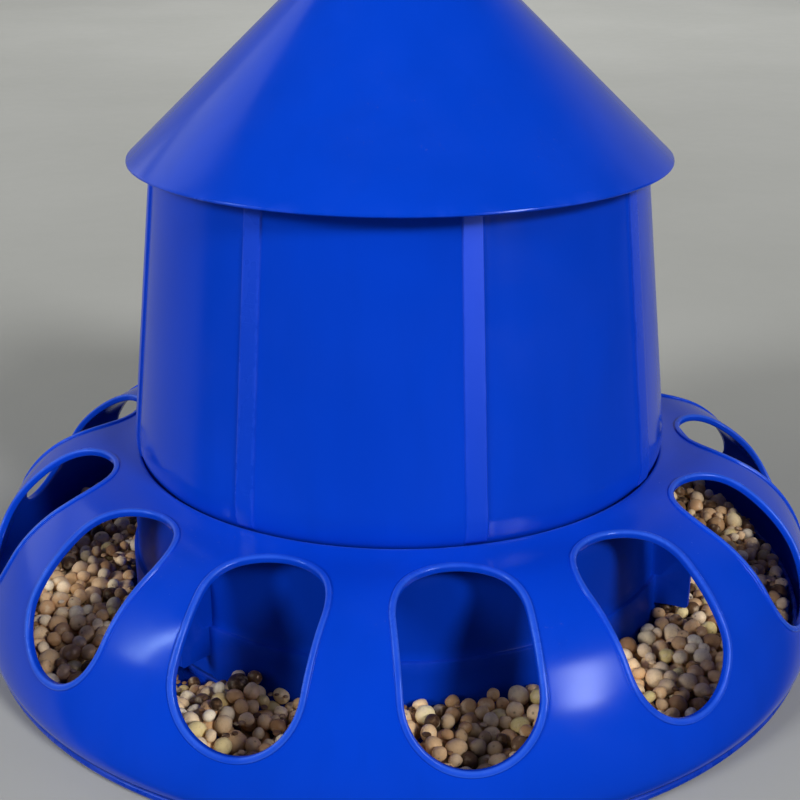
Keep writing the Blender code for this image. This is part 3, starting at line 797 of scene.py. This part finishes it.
def heap(angle, r):
    """Height of the feed's surface over the trough: it slopes and lies
    unevenly, as grain that has run out of the outlets and been pecked at."""
    x, y = r * math.sin(angle), -r * math.cos(angle)
    t = (r / U - 1.045) / (1.524 - 1.045)
    z = -0.518 * U
    turn = (math.degrees(angle) + 180.0) % 360.0 - 180.0
    for mid, wide, rise in HEAPS:
        z += rise * U * math.exp(-((turn - mid) / wide) ** 2)
    z += 0.004 * U * math.sin(95.0 * x + 1.0) * math.cos(80.0 * y)
    z -= 0.030 * U * max(0.0, t - 0.62) / 0.38
    z -= 0.006 * U * max(0.0, 0.2 - t) / 0.2
    return z


# where dust and old husk lie on the feed, and, round the front ports, painted shade on the
# grain: angle in degrees, radius in U, width in degrees, width in U, amount
DUST_AND_SHADE = ((10.5, 1.34, 4.5, 0.30, 0.62), (-47.0, 1.13, 9.0, 0.07, 0.66),
        (-45.0, 1.46, 5.0, 0.07, 0.40), (-53.0, 1.36, 4.0, 0.07, 0.22),
        (33.0, 1.22, 4.0, 0.08, 0.34), (41.0, 1.36, 4.0, 0.09, 0.26),
        (-24.5, 1.30, 2.6, 0.10, 0.34), (-16.0, 1.44, 3.0, 0.07, 0.36),
        (70.0, 1.42, 7.0, 0.12, 0.46), (100.0, 1.25, 12.0, 0.14, 0.45),
        (140.0, 1.35, 14.0, 0.12, 0.50), (180.0, 1.20, 12.0, 0.14, 0.40),
        (-140.0, 1.30, 14.0, 0.14, 0.45), (-90.0, 1.22, 12.0, 0.12, 0.40))


def dust_and_shade_at(turn, radius):
    amount = 0.0
    for mid, r, wide, deep, much in DUST_AND_SHADE:
        off = (turn - mid + 180.0) % 360.0 - 180.0
        amount = max(amount, much * math.exp(-(off / wide) ** 2
                                             - ((radius - r) / deep) ** 2))
    return amount


def pour_grain():
    """Drop grains of mixed size until the trough is full to the surface."""
    rng = random.Random(41)
    cell = 0.0095
    grid, grains = {}, []

    def rest(x, y, rad):
        z = PAN_FLOOR + rad * 0.93
        i, j = int(math.floor(x / cell)), int(math.floor(y / cell))
        for a in (i - 1, i, i + 1):
            for b in (j - 1, j, j + 1):
                for gx, gy, gz, gr in grid.get((a, b), ()):
                    reach = (rad + gr) * 0.93
                    d2 = (x - gx) ** 2 + (y - gy) ** 2
                    if d2 < reach * reach:
                        z = max(z, gz + math.sqrt(reach * reach - d2))
        return z

    lo, hi = 1.046 * U, 1.532 * U
    misses = 0
    while misses < 260 and len(grains) < 4200:
        rad = min(max(rng.gauss(0.00362, 0.00052), 0.0023), 0.0047)
        best = None
        for _ in range(9):
            a = rng.uniform(0.0, TAU)
            r = math.sqrt(rng.uniform((lo + rad) ** 2, (hi - rad) ** 2))
            x, y = r * math.sin(a), -r * math.cos(a)
            z = rest(x, y, rad)
            room = heap(a, r) - (z + rad)
            if best is None or room > best[0]:
                best = (room, x, y, z)
        room, x, y, z = best
        if room < -0.0012:
            misses += 1
            continue
        misses = 0
        grains.append((x, y, z, rad))
        key = (int(math.floor(x / cell)), int(math.floor(y / cell)))
        grid.setdefault(key, []).append((x, y, z, rad))
    # husk and broken bits that have settled between the grains
    for _ in range(900):
        rad = rng.uniform(0.0008, 0.0017)
        best = None
        for _ in range(4):
            a = rng.uniform(0.0, TAU)
            r = math.sqrt(rng.uniform((lo + rad) ** 2, (hi - rad) ** 2))
            x, y = r * math.sin(a), -r * math.cos(a)
            z = rest(x, y, rad)
            if best is None or z < best[2]:
                best = (x, y, z)
        x, y, z = best
        if heap(math.atan2(x, -y) % TAU, math.hypot(x, y)) + 0.001 < z + rad:
            continue
        grains.append((x, y, z, rad))
        key = (int(math.floor(x / cell)), int(math.floor(y / cell)))
        grid.setdefault(key, []).append((x, y, z, rad))
    return grains


def build_grain(mat):
    rng = random.Random(7)
    shapes = grain_shapes(rng)
    grains = pour_grain()
    sectors = 8
    parts = [dict(v=[], f=[], tone=[], scar=[], shift=[], dust_and_shade=[], n=0)
             for _ in range(sectors)]
    for x, y, z, rad in grains:
        a = math.atan2(x, -y) % TAU
        part = parts[int(a / TAU * sectors) % sectors]
        r = math.hypot(x, y)
        depth = heap(a, r) - (z + rad)
        fine = 0 if depth < 0.0040 else 1
        p, f, scar = shapes[rng.randrange(len(shapes))][fine]
        q = np.array([rng.gauss(0, 1) for _ in range(4)])
        q /= np.linalg.norm(q)
        w, i, j, k = q
        m = np.array([[1 - 2 * (j * j + k * k), 2 * (i * j - k * w), 2 * (i * k + j * w)],
                      [2 * (i * j + k * w), 1 - 2 * (i * i + k * k), 2 * (j * k - i * w)],
                      [2 * (i * k - j * w), 2 * (j * k + i * w), 1 - 2 * (i * i + j * j)]])
        pts = (p * rad) @ m.T + np.array([x, y, z + Z_NECK])
        pts[:, 2] = np.maximum(pts[:, 2], Z_NECK + PAN_FLOOR + 0.0001)
        part["v"].append(pts)
        part["f"].append(f + part["n"])
        part["n"] += len(p)
        tone, shift = rng.random(), rng.random()
        if rad < 0.0018:                      # a bit of husk
            pts[:, 2] = z + Z_NECK + (pts[:, 2] - z - Z_NECK) * 0.45
            tone *= 0.12 if shift < 0.75 else 0.9
        dust_and_shade = dust_and_shade_at(math.degrees(a), r / U) + rng.uniform(-0.16, 0.16)
        part["dust_and_shade"].append(np.full(len(p), min(max(dust_and_shade, 0.0), 1.0)))
        part["tone"].append(np.full(len(p), tone))
        part["shift"].append(np.full(len(p), shift))
        part["scar"].append(scar)
    for s, part in enumerate(parts):
        piece("feed_grain_%d" % (s + 1), np.concatenate(part["v"]),
              [tuple(int(q) for q in t) for t in np.concatenate(part["f"])],
              mat, "base", "feed_bed",
              {"tone": np.concatenate(part["tone"]),
               "shift": np.concatenate(part["shift"]),
               "dust_and_shade": np.concatenate(part["dust_and_shade"]),
               "scar": np.concatenate(part["scar"])})
    return len(grains)


# ---------------------------------------------------------------- materials
class Net:
    """Short names for the nodes that the materials use."""

    def __init__(self, name):
        self.mat = bpy.data.materials.new(name)
        self.mat.use_nodes = True
        self.tree = self.mat.node_tree
        self.tree.nodes.clear()
        self.out = self.tree.nodes.new("ShaderNodeOutputMaterial")
        self.bsdf = self.tree.nodes.new("ShaderNodeBsdfPrincipled")
        self.tree.links.new(self.bsdf.outputs[0], self.out.inputs[0])
        self.place = self.tree.nodes.new("ShaderNodeTexCoord").outputs["Object"]

    def put(self, socket, value):
        if isinstance(value, bpy.types.NodeSocket):
            self.tree.links.new(value, socket)
        elif isinstance(value, (tuple, list)) and len(value) == 3 \
                and socket.type == "RGBA":
            socket.default_value = (*value, 1.0)
        else:
            socket.default_value = value

    def scaled(self, x, y, z):
        n = self.tree.nodes.new("ShaderNodeMapping")
        n.inputs["Scale"].default_value = (x, y, z)
        self.put(n.inputs["Vector"], self.place)
        return n.outputs[0]

    def noise(self, scale, detail=2.0, rough=0.5, twist=0.0, at=None):
        n = self.tree.nodes.new("ShaderNodeTexNoise")
        self.put(n.inputs["Vector"], at or self.place)
        n.inputs["Scale"].default_value = scale
        n.inputs["Detail"].default_value = detail
        n.inputs["Roughness"].default_value = rough
        n.inputs["Distortion"].default_value = twist
        return n.outputs[0]

    def cells(self, scale, feature="F1", at=None, out="Distance"):
        n = self.tree.nodes.new("ShaderNodeTexVoronoi")
        n.feature = feature
        self.put(n.inputs["Vector"], at or self.place)
        n.inputs["Scale"].default_value = scale
        return n.outputs[out]

    def math(self, kind, a, b=0.0, clamp=False):
        n = self.tree.nodes.new("ShaderNodeMath")
        n.operation = kind
        n.use_clamp = clamp
        self.put(n.inputs[0], a)
        self.put(n.inputs[1], b)
        return n.outputs[0]

    def ramp(self, value, a, b, low=0.0, high=1.0):
        n = self.tree.nodes.new("ShaderNodeMapRange")
        n.interpolation_type = "SMOOTHSTEP"
        self.put(n.inputs["Value"], value)
        n.inputs["From Min"].default_value = a
        n.inputs["From Max"].default_value = b
        n.inputs["To Min"].default_value = low
        n.inputs["To Max"].default_value = high
        return n.outputs[0]

    def mix(self, fac, a, b, kind="MIX"):
        n = self.tree.nodes.new("ShaderNodeMix")
        n.data_type = "RGBA"
        n.blend_type = kind
        self.put(n.inputs[0], fac)
        self.put(n.inputs[6], a)
        self.put(n.inputs[7], b)
        return n.outputs[2]

    def colours(self, value, stops):
        n = self.tree.nodes.new("ShaderNodeValToRGB")
        self.put(n.inputs[0], value)
        r = n.color_ramp
        while len(r.elements) < len(stops):
            r.elements.new(0.5)
        for e, (pos, col) in zip(r.elements, stops):
            e.position = pos
            e.color = (*col, 1.0)
        return n.outputs[0]

    def attribute(self, name):
        n = self.tree.nodes.new("ShaderNodeAttribute")
        n.attribute_name = name
        return n.outputs["Fac"]

    def up(self):
        g = self.tree.nodes.new("ShaderNodeNewGeometry")
        s = self.tree.nodes.new("ShaderNodeSeparateXYZ")
        self.put(s.inputs[0], g.outputs["Normal"])
        return s.outputs["Z"]

    def bump(self, height, strength, distance, under=None):
        n = self.tree.nodes.new("ShaderNodeBump")
        self.put(n.inputs["Height"], height)
        n.inputs["Strength"].default_value = strength
        n.inputs["Distance"].default_value = distance
        if under is not None:
            self.put(n.inputs["Normal"], under)
        return n.outputs[0]


def shade(colour, k, add=0.0):
    return tuple(min(1.0, c * k + add) for c in colour)


def plastic(name, colour, rough=0.20, tint=(0.30, 0.50, 1.0), dust=0.35,
            scuff=0.5, rib=False, mirror=0.5, crest_highlight=0.0):
    """Glossy moulded polypropylene: faint pigment swirl, draw lines, specks
    of dust on what faces up, rubbed edges, fine hairline scuffs; painted highlights on bead
    crests and ribs where asked."""
    n = Net(name)
    swirl = n.noise(7.0, 3.0, 0.55, 0.8)
    drawn = n.noise(1.0, 3.0, 0.6, 0.2, n.scaled(55.0, 55.0, 5.0))
    col = n.mix(n.ramp(swirl, 0.32, 0.68), shade(colour, 0.93),
                shade(colour, 1.06))
    col = n.mix(n.math("MULTIPLY", n.ramp(drawn, 0.45, 0.70), 0.22), col,
                shade(colour, 0.84))
    # rubbed edges
    rub = n.math("MULTIPLY", n.attribute("wear_and_sheen"),
                 n.ramp(n.noise(95.0, 4.0, 0.65, 0.3), 0.40, 0.66), True)
    rub = n.math("MULTIPLY", rub, 0.42 * scuff + 0.12)
    col = n.mix(rub, col, shade(colour, 1.25, 0.022))
    if crest_highlight:
        # painted highlight: lighter blue lines along the bead crests, standing in for the
        # reflections the round beads catch
        crest = n.math("MULTIPLY", n.attribute("wear_and_sheen"), n.attribute("wear_and_sheen"))
        crest = n.math("MULTIPLY", crest, n.ramp(
            n.noise(30.0, 3.0, 0.6, 0.2), 0.30, 0.62, 0.35, 1.0))
        crest = n.math("MULTIPLY", crest, crest_highlight)
        col = n.mix(crest, col, (0.075, 0.230, 0.900))
    # dust lies on faces that look up
    specks = n.ramp(n.noise(820.0, 2.0, 0.7), 0.665, 0.76)
    patches = n.ramp(n.noise(16.0, 3.0, 0.6), 0.42, 0.70)
    lying = n.ramp(n.up(), 0.15, 0.95)
    fine = n.math("MULTIPLY", n.math("MULTIPLY", specks, patches), lying)
    veil = n.math("MULTIPLY", n.math("MULTIPLY", patches, lying), 0.012)
    dusty = n.math("ADD", n.math("MULTIPLY", fine, 0.30 * dust),
                   n.math("MULTIPLY", veil, dust), True)
    col = n.mix(dusty, col, (0.42, 0.42, 0.46))
    # hairlines, mostly round the axis and some upright
    hair = n.noise(1.0, 7.0, 0.72, 0.0, n.scaled(9.0, 9.0, 640.0))
    hair = n.ramp(n.math("ABSOLUTE", n.math("SUBTRACT", hair, 0.5)), 0.0,
                  0.012, 1.0, 0.0)
    upright = n.noise(1.0, 6.0, 0.7, 0.0, n.scaled(420.0, 420.0, 7.0))
    upright = n.ramp(n.math("ABSOLUTE", n.math("SUBTRACT", upright, 0.52)),
                     0.0, 0.010, 1.0, 0.0)
    where = n.ramp(n.noise(22.0, 2.0), 0.50, 0.72)
    lines = n.math("MULTIPLY", n.math("MAXIMUM", hair, upright), where)
    lines = n.math("MULTIPLY", lines, scuff)
    smudge = n.noise(26.0, 3.0, 0.6, 0.6)
    r = n.ramp(smudge, 0.30, 0.72, rough - 0.035, rough + 0.05)
    r = n.math("ADD", r, n.math("MULTIPLY", lines, 0.10))
    r = n.math("ADD", r, n.math("MULTIPLY", rub, 0.30))
    r = n.math("ADD", r, n.math("MULTIPLY", dusty, 0.8))
    # ribs: rougher faces, and a painted highlight on them
    if rib:
        face = n.attribute("rib")
        r = n.math("ADD", r, n.math("MULTIPLY", face, 0.22))
        height = n.tree.nodes.new("ShaderNodeSeparateXYZ")
        n.put(height.inputs[0], n.place)
        # painted highlight: rib faces lightened towards their top, standing in for the light
        # they catch
        painted_rib_highlight = n.math("MULTIPLY", face,
                      n.ramp(height.outputs["Z"], 0.09, 0.205, 0.04, 0.50))
        col = n.mix(painted_rib_highlight, col, shade(colour, 1.62, 0.040))
    r = n.math("MINIMUM", n.math("MAXIMUM", r, 0.06), 0.9)
    n.put(n.bsdf.inputs["Base Color"], col)
    n.put(n.bsdf.inputs["Roughness"], r)
    # moulded surface: slow waves from shrinkage, fine peel, the scuffs
    normal = n.bump(n.noise(17.0, 2.0, 0.4), 0.22, 0.0010)
    normal = n.bump(n.noise(1500.0, 2.0, 0.5), 0.05, 0.00006, normal)
    normal = n.bump(lines, 0.10, 0.00005, normal)
    n.put(n.bsdf.inputs["Normal"], normal)
    n.bsdf.inputs["IOR"].default_value = 1.49
    n.bsdf.inputs["Specular IOR Level"].default_value = mirror
    n.bsdf.inputs["Specular Tint"].default_value = (*tint, 1.0)
    return n.mat


def grain_material():
    n = Net("grain")
    tone = n.attribute("tone")
    base = n.colours(tone, [
        (0.00, (0.022, 0.012, 0.007)), (0.07, (0.100, 0.048, 0.020)),
        (0.11, (0.400, 0.215, 0.095)), (0.24, (0.680, 0.410, 0.195)),
        (0.45, (0.860, 0.580, 0.315)), (0.66, (0.950, 0.710, 0.430)),
        (0.82, (0.980, 0.800, 0.540)), (0.91, (0.980, 0.880, 0.680)),
        (0.96, (0.900, 0.730, 0.300)), (1.00, (0.740, 0.620, 0.290))])
    shift = n.attribute("shift")
    base = n.mix(n.ramp(shift, 0.3, 1.0, 0.0, 0.30), base, (0.660, 0.370, 0.195))
    mottle = n.noise(520.0, 3.0, 0.6, 0.4)
    base = n.mix(n.ramp(mottle, 0.42, 0.74, 0.0, 0.30), base,
                 (0.480, 0.275, 0.140))
    pale = n.noise(260.0, 2.0, 0.5)
    base = n.mix(n.ramp(pale, 0.52, 0.74, 0.0, 0.45), base,
                 (0.950, 0.800, 0.560))
    spots = n.ramp(n.cells(760.0), 0.10, 0.20, 1.0, 0.0)
    base = n.mix(n.math("MULTIPLY", spots, 0.20), base, (0.12, 0.06, 0.03))
    scar = n.math("MULTIPLY", n.attribute("scar"), 0.75)
    base = n.mix(n.ramp(scar, 0.35, 0.75, 0.0, 0.7), base,
                 (0.150, 0.080, 0.040))
    # darker where dust and husk lie, and painted shade on the grain round the front ports
    base = n.mix(n.math("MULTIPLY", n.attribute("dust_and_shade"), 0.80), base,
                 (0.085, 0.046, 0.024))
    n.put(n.bsdf.inputs["Base Color"], base)
    rough = n.ramp(n.noise(400.0, 2.0), 0.3, 0.7, 0.34, 0.52)
    n.put(n.bsdf.inputs["Roughness"], rough)
    normal = n.bump(n.noise(420.0, 3.0, 0.6), 0.30, 0.00035)
    normal = n.bump(n.noise(1800.0, 2.0), 0.18, 0.00008, normal)
    n.put(n.bsdf.inputs["Normal"], normal)
    n.bsdf.inputs["IOR"].default_value = 1.42
    return n.mat


def steel(name, colour, rough, turned_marks):
    n = Net(name)
    fine = n.noise(1.0, 4.0, 0.6, 0.0, n.scaled(260.0, 260.0, 5200.0)
                   if turned_marks else n.scaled(1800.0, 1800.0, 900.0))
    col = n.mix(n.ramp(fine, 0.3, 0.7), shade(colour, 0.86),
                shade(colour, 1.07))
    stain = n.ramp(n.noise(380.0, 3.0, 0.6), 0.55, 0.78)
    col = n.mix(n.math("MULTIPLY", stain, 0.35), col, (0.30, 0.26, 0.20))
    n.put(n.bsdf.inputs["Base Color"], col)
    r = n.ramp(fine, 0.3, 0.7, rough - 0.06, rough + 0.10)
    r = n.math("ADD", r, n.math("MULTIPLY", stain, 0.20), True)
    n.put(n.bsdf.inputs["Roughness"], r)
    n.put(n.bsdf.inputs["Normal"], n.bump(fine, 0.20, 0.00005))
    n.bsdf.inputs["Metallic"].default_value = 1.0
    return n.mat


# -------------------------------------------------------------------- build
BLUE = (0.0010, 0.0447, 0.550)
LID_BLUE = (0.0012, 0.0477, 0.559)
# a darker copy of the blue for the inner parts: painted shade, standing in for the shade inside
# the feeder
SHADED_BLUE = (0.0010, 0.0344, 0.428)

ring_mat = plastic("ring_plastic_look", BLUE, 0.190, crest_highlight=0.27)
barrel_mat = plastic("barrel_plastic_look", BLUE, 0.185, rib=True)
lid_mat = plastic("lid_plastic_look", LID_BLUE, 0.165)
knob_mat = plastic("knob_plastic_look", BLUE, 0.20)
sleeve_mat = plastic("sleeve_plastic_look", SHADED_BLUE, 0.17, dust=0.2)
well_mat = plastic("well_plastic_look", SHADED_BLUE, 0.38, dust=0.5, mirror=0.08)
pan_mat = plastic("pan_plastic_look", SHADED_BLUE, 0.24, dust=0.8, scuff=0.8)
cone_mat = plastic("cone_plastic_look", SHADED_BLUE, 0.22, dust=0.8)

build_pan(pan_mat)
build_well(well_mat)
build_cone(cone_mat)
build_ring(ring_mat)
build_sleeve(sleeve_mat)
build_barrel(barrel_mat)
crown = build_lid(lid_mat)
build_knob(knob_mat, crown)
build_grain(grain_material())

for node, mat in (("knob_screw", steel("screw_steel_look", (0.62, 0.61, 0.58), 0.30, True)),
                  ("knob_washer", steel("washer_steel_look", (0.66, 0.66, 0.63), 0.34, False))):
    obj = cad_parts[node]
    obj.data.materials.clear()
    obj.data.materials.append(mat)


# -------------------------------------------------------------------- stage
def build_floor():
    n = Net("floor_look")
    col = n.mix(n.ramp(n.noise(3.0, 3.0, 0.5), 0.3, 0.7),
                (0.408, 0.412, 0.388), (0.434, 0.438, 0.414))
    n.put(n.bsdf.inputs["Base Color"], col)
    n.put(n.bsdf.inputs["Roughness"],
          n.ramp(n.noise(40.0, 3.0), 0.3, 0.7, 0.75, 0.88))
    n.put(n.bsdf.inputs["Normal"], n.bump(n.noise(900.0, 3.0), 0.15, 0.0003))
    n.bsdf.inputs["Specular IOR Level"].default_value = 0.2
    verts, faces, rows = [(0.0, 0.0, 0.0)], [], []
    radii = [0.3, 0.6, 1.0, 1.6, 2.6, 4.0]
    steps = 64
    for r in radii:
        rows.append(list(range(len(verts), len(verts) + steps)))
        verts += [(r * math.cos(TAU * i / steps), r * math.sin(TAU * i / steps),
                   0.0) for i in range(steps)]
    for i in range(steps):
        faces.append([0, rows[0][i], rows[0][(i + 1) % steps]])
        for a, b in zip(rows[:-1], rows[1:]):
            faces.append([a[i], b[i], b[(i + 1) % steps], a[(i + 1) % steps]])
    mesh = bpy.data.meshes.new("studio_floor")
    mesh.from_pydata(verts, [], faces)
    mesh.shade_smooth()
    mesh.materials.append(n.mat)
    obj = bpy.data.objects.new("studio_floor", mesh)
    bpy.context.scene.collection.objects.link(obj)
    obj.visible_glossy = False


def build_world():
    """Plain pale surround; what the gloss mirrors is darker in front and
    pale behind, as a backdrop is."""
    world = bpy.data.worlds.new("studio")
    bpy.context.scene.world = world
    world.use_nodes = True
    t = world.node_tree
    t.nodes.clear()
    out = t.nodes.new("ShaderNodeOutputWorld")
    coord = t.nodes.new("ShaderNodeTexCoord")
    sep = t.nodes.new("ShaderNodeSeparateXYZ")
    t.links.new(coord.outputs["Generated"], sep.inputs[0])

    def calc(kind, a, b=0.0):
        n = t.nodes.new("ShaderNodeMath")
        n.operation = kind
        for s, v in zip(n.inputs, (a, b)):
            if isinstance(v, bpy.types.NodeSocket):
                t.links.new(v, s)
            else:
                s.default_value = v
        return n.outputs[0]

    def span(v, a, b, lo, hi):
        n = t.nodes.new("ShaderNodeMapRange")
        n.interpolation_type = "SMOOTHSTEP"
        t.links.new(v, n.inputs["Value"])
        n.inputs["From Min"].default_value = a
        n.inputs["From Max"].default_value = b
        n.inputs["To Min"].default_value = lo
        n.inputs["To Max"].default_value = hi
        return n.outputs[0]

    flip = calc("MULTIPLY", sep.outputs["Y"], -1.0)
    azimuth = calc("ARCTAN2", sep.outputs["X"], flip)
    right = span(azimuth, math.radians(114), math.radians(134), 0.0, 1.0)
    left = span(azimuth, math.radians(-97), math.radians(-92), 1.0, 0.0)
    back = calc("MAXIMUM", right, left)
    low = span(sep.outputs["Z"], 0.35, 0.80, 1.0, 0.05)
    wall = calc("MULTIPLY", back, low)
    level = calc("ADD", calc("MULTIPLY", wall, 0.26), 0.012)
    mirror = t.nodes.new("ShaderNodeBackground")
    mirror.inputs["Color"].default_value = (0.95, 0.97, 1.0, 1.0)
    t.links.new(level, mirror.inputs["Strength"])
    fill = t.nodes.new("ShaderNodeBackground")
    fill.inputs["Color"].default_value = (0.97, 0.98, 1.0, 1.0)
    fill.inputs["Strength"].default_value = 0.065
    seen = t.nodes.new("ShaderNodeBackground")
    seen.inputs["Color"].default_value = (0.430, 0.440, 0.405, 1.0)
    seen.inputs["Strength"].default_value = 1.0
    path = t.nodes.new("ShaderNodeLightPath")
    mix_a = t.nodes.new("ShaderNodeMixShader")
    t.links.new(path.outputs["Is Glossy Ray"], mix_a.inputs[0])
    t.links.new(fill.outputs[0], mix_a.inputs[1])
    t.links.new(mirror.outputs[0], mix_a.inputs[2])
    mix_b = t.nodes.new("ShaderNodeMixShader")
    t.links.new(path.outputs["Is Camera Ray"], mix_b.inputs[0])
    t.links.new(mix_a.outputs[0], mix_b.inputs[1])
    t.links.new(seen.outputs[0], mix_b.inputs[2])
    t.links.new(mix_b.outputs[0], out.inputs[0])


def softbox(name, azimuth, elevation, distance, wide, high, power,
            colour=(1.0, 1.0, 1.0), glossy=True, target=(0.0, 0.0, 0.09),
            roll=0.0, diffuse=True):
    """A flat panel of light that faces the object."""
    a, e = math.radians(azimuth), math.radians(elevation)
    way = Vector((math.sin(a) * math.cos(e), -math.cos(a) * math.cos(e),
                  math.sin(e)))
    data = bpy.data.lights.new(name, "AREA")
    data.shape = "RECTANGLE"
    data.size, data.size_y = wide, high
    data.energy = power
    data.color = colour
    obj = bpy.data.objects.new(name, data)
    obj.location = Vector(target) + way * distance
    turn = (-way).to_track_quat("-Z", "Y")
    obj.rotation_mode = "QUATERNION"
    from mathutils import Quaternion
    obj.rotation_quaternion = turn @ Quaternion((0, 0, 1), math.radians(roll))
    obj.visible_glossy = glossy
    obj.visible_diffuse = diffuse
    bpy.context.scene.collection.objects.link(obj)
    return obj


def distant(name, azimuth, elevation, spread_deg, strength):
    """Even light from one side, as from a large far lamp; not mirrored."""
    a, e = math.radians(azimuth), math.radians(elevation)
    way = Vector((math.sin(a) * math.cos(e), -math.cos(a) * math.cos(e),
                  math.sin(e)))
    data = bpy.data.lights.new(name, "SUN")
    data.energy = strength
    data.angle = math.radians(spread_deg)
    obj = bpy.data.objects.new(name, data)
    obj.location = way * 2.0
    obj.rotation_mode = "QUATERNION"
    obj.rotation_quaternion = (-way).to_track_quat("-Z", "Y")
    obj.visible_glossy = False
    bpy.context.scene.collection.objects.link(obj)
    return obj


build_floor()
build_world()
softbox("softbox_right", 50.3, 25.0, 1.30, 0.23, 0.64, 13.2,
        (1.0, 0.72, 0.55), diffuse=False, roll=-18.0,
        target=(0.0585, -0.156, 0.055))
softbox("softbox_left", -69.0, 29.0, 1.35, 0.07, 0.72, 3.6,
        (1.0, 0.96, 0.76), diffuse=False)
softbox("panel_back_left", -128.0, 35.0, 1.60, 0.60, 0.60, 0.62,
        (0.93, 0.95, 1.0))
softbox("rim_left", -122.0, 12.0, 1.60, 1.10, 0.50, 0.9, diffuse=False)
softbox("floor_light", 180.0, 89.0, 1.20, 1.40, 0.90, 6.5, glossy=False,
        target=(0.15, 2.35, 0.0))
distant("key", 37.5, 32.0, 13.0, 2.10)
distant("fill_left", -50.0, 28.0, 16.0, 1.66)
distant("side_left", -78.0, 25.0, 45.0, 0.56)
distant("side_right", 80.0, 25.0, 45.0, 0.47)
distant("fill_high", -8.0, 66.0, 40.0, 0.05)

cam_data = bpy.data.cameras.new("camera")
cam_data.lens = 61.81
cam_data.sensor_width = 36.0
cam_data.clip_start = 0.02
cam_data.clip_end = 20.0
cam = bpy.data.objects.new("camera", cam_data)
cam.location = (0.0, -4.929 * U, 2.070 * U + Z_NECK)
cam.rotation_euler = (math.radians(68.42), 0.0, 0.0)
bpy.context.scene.collection.objects.link(cam)
bpy.context.scene.camera = cam

view = bpy.context.scene.view_settings
view.view_transform = "Standard"
view.look = "None"
view.exposure = 0.0
view.gamma = 1.0
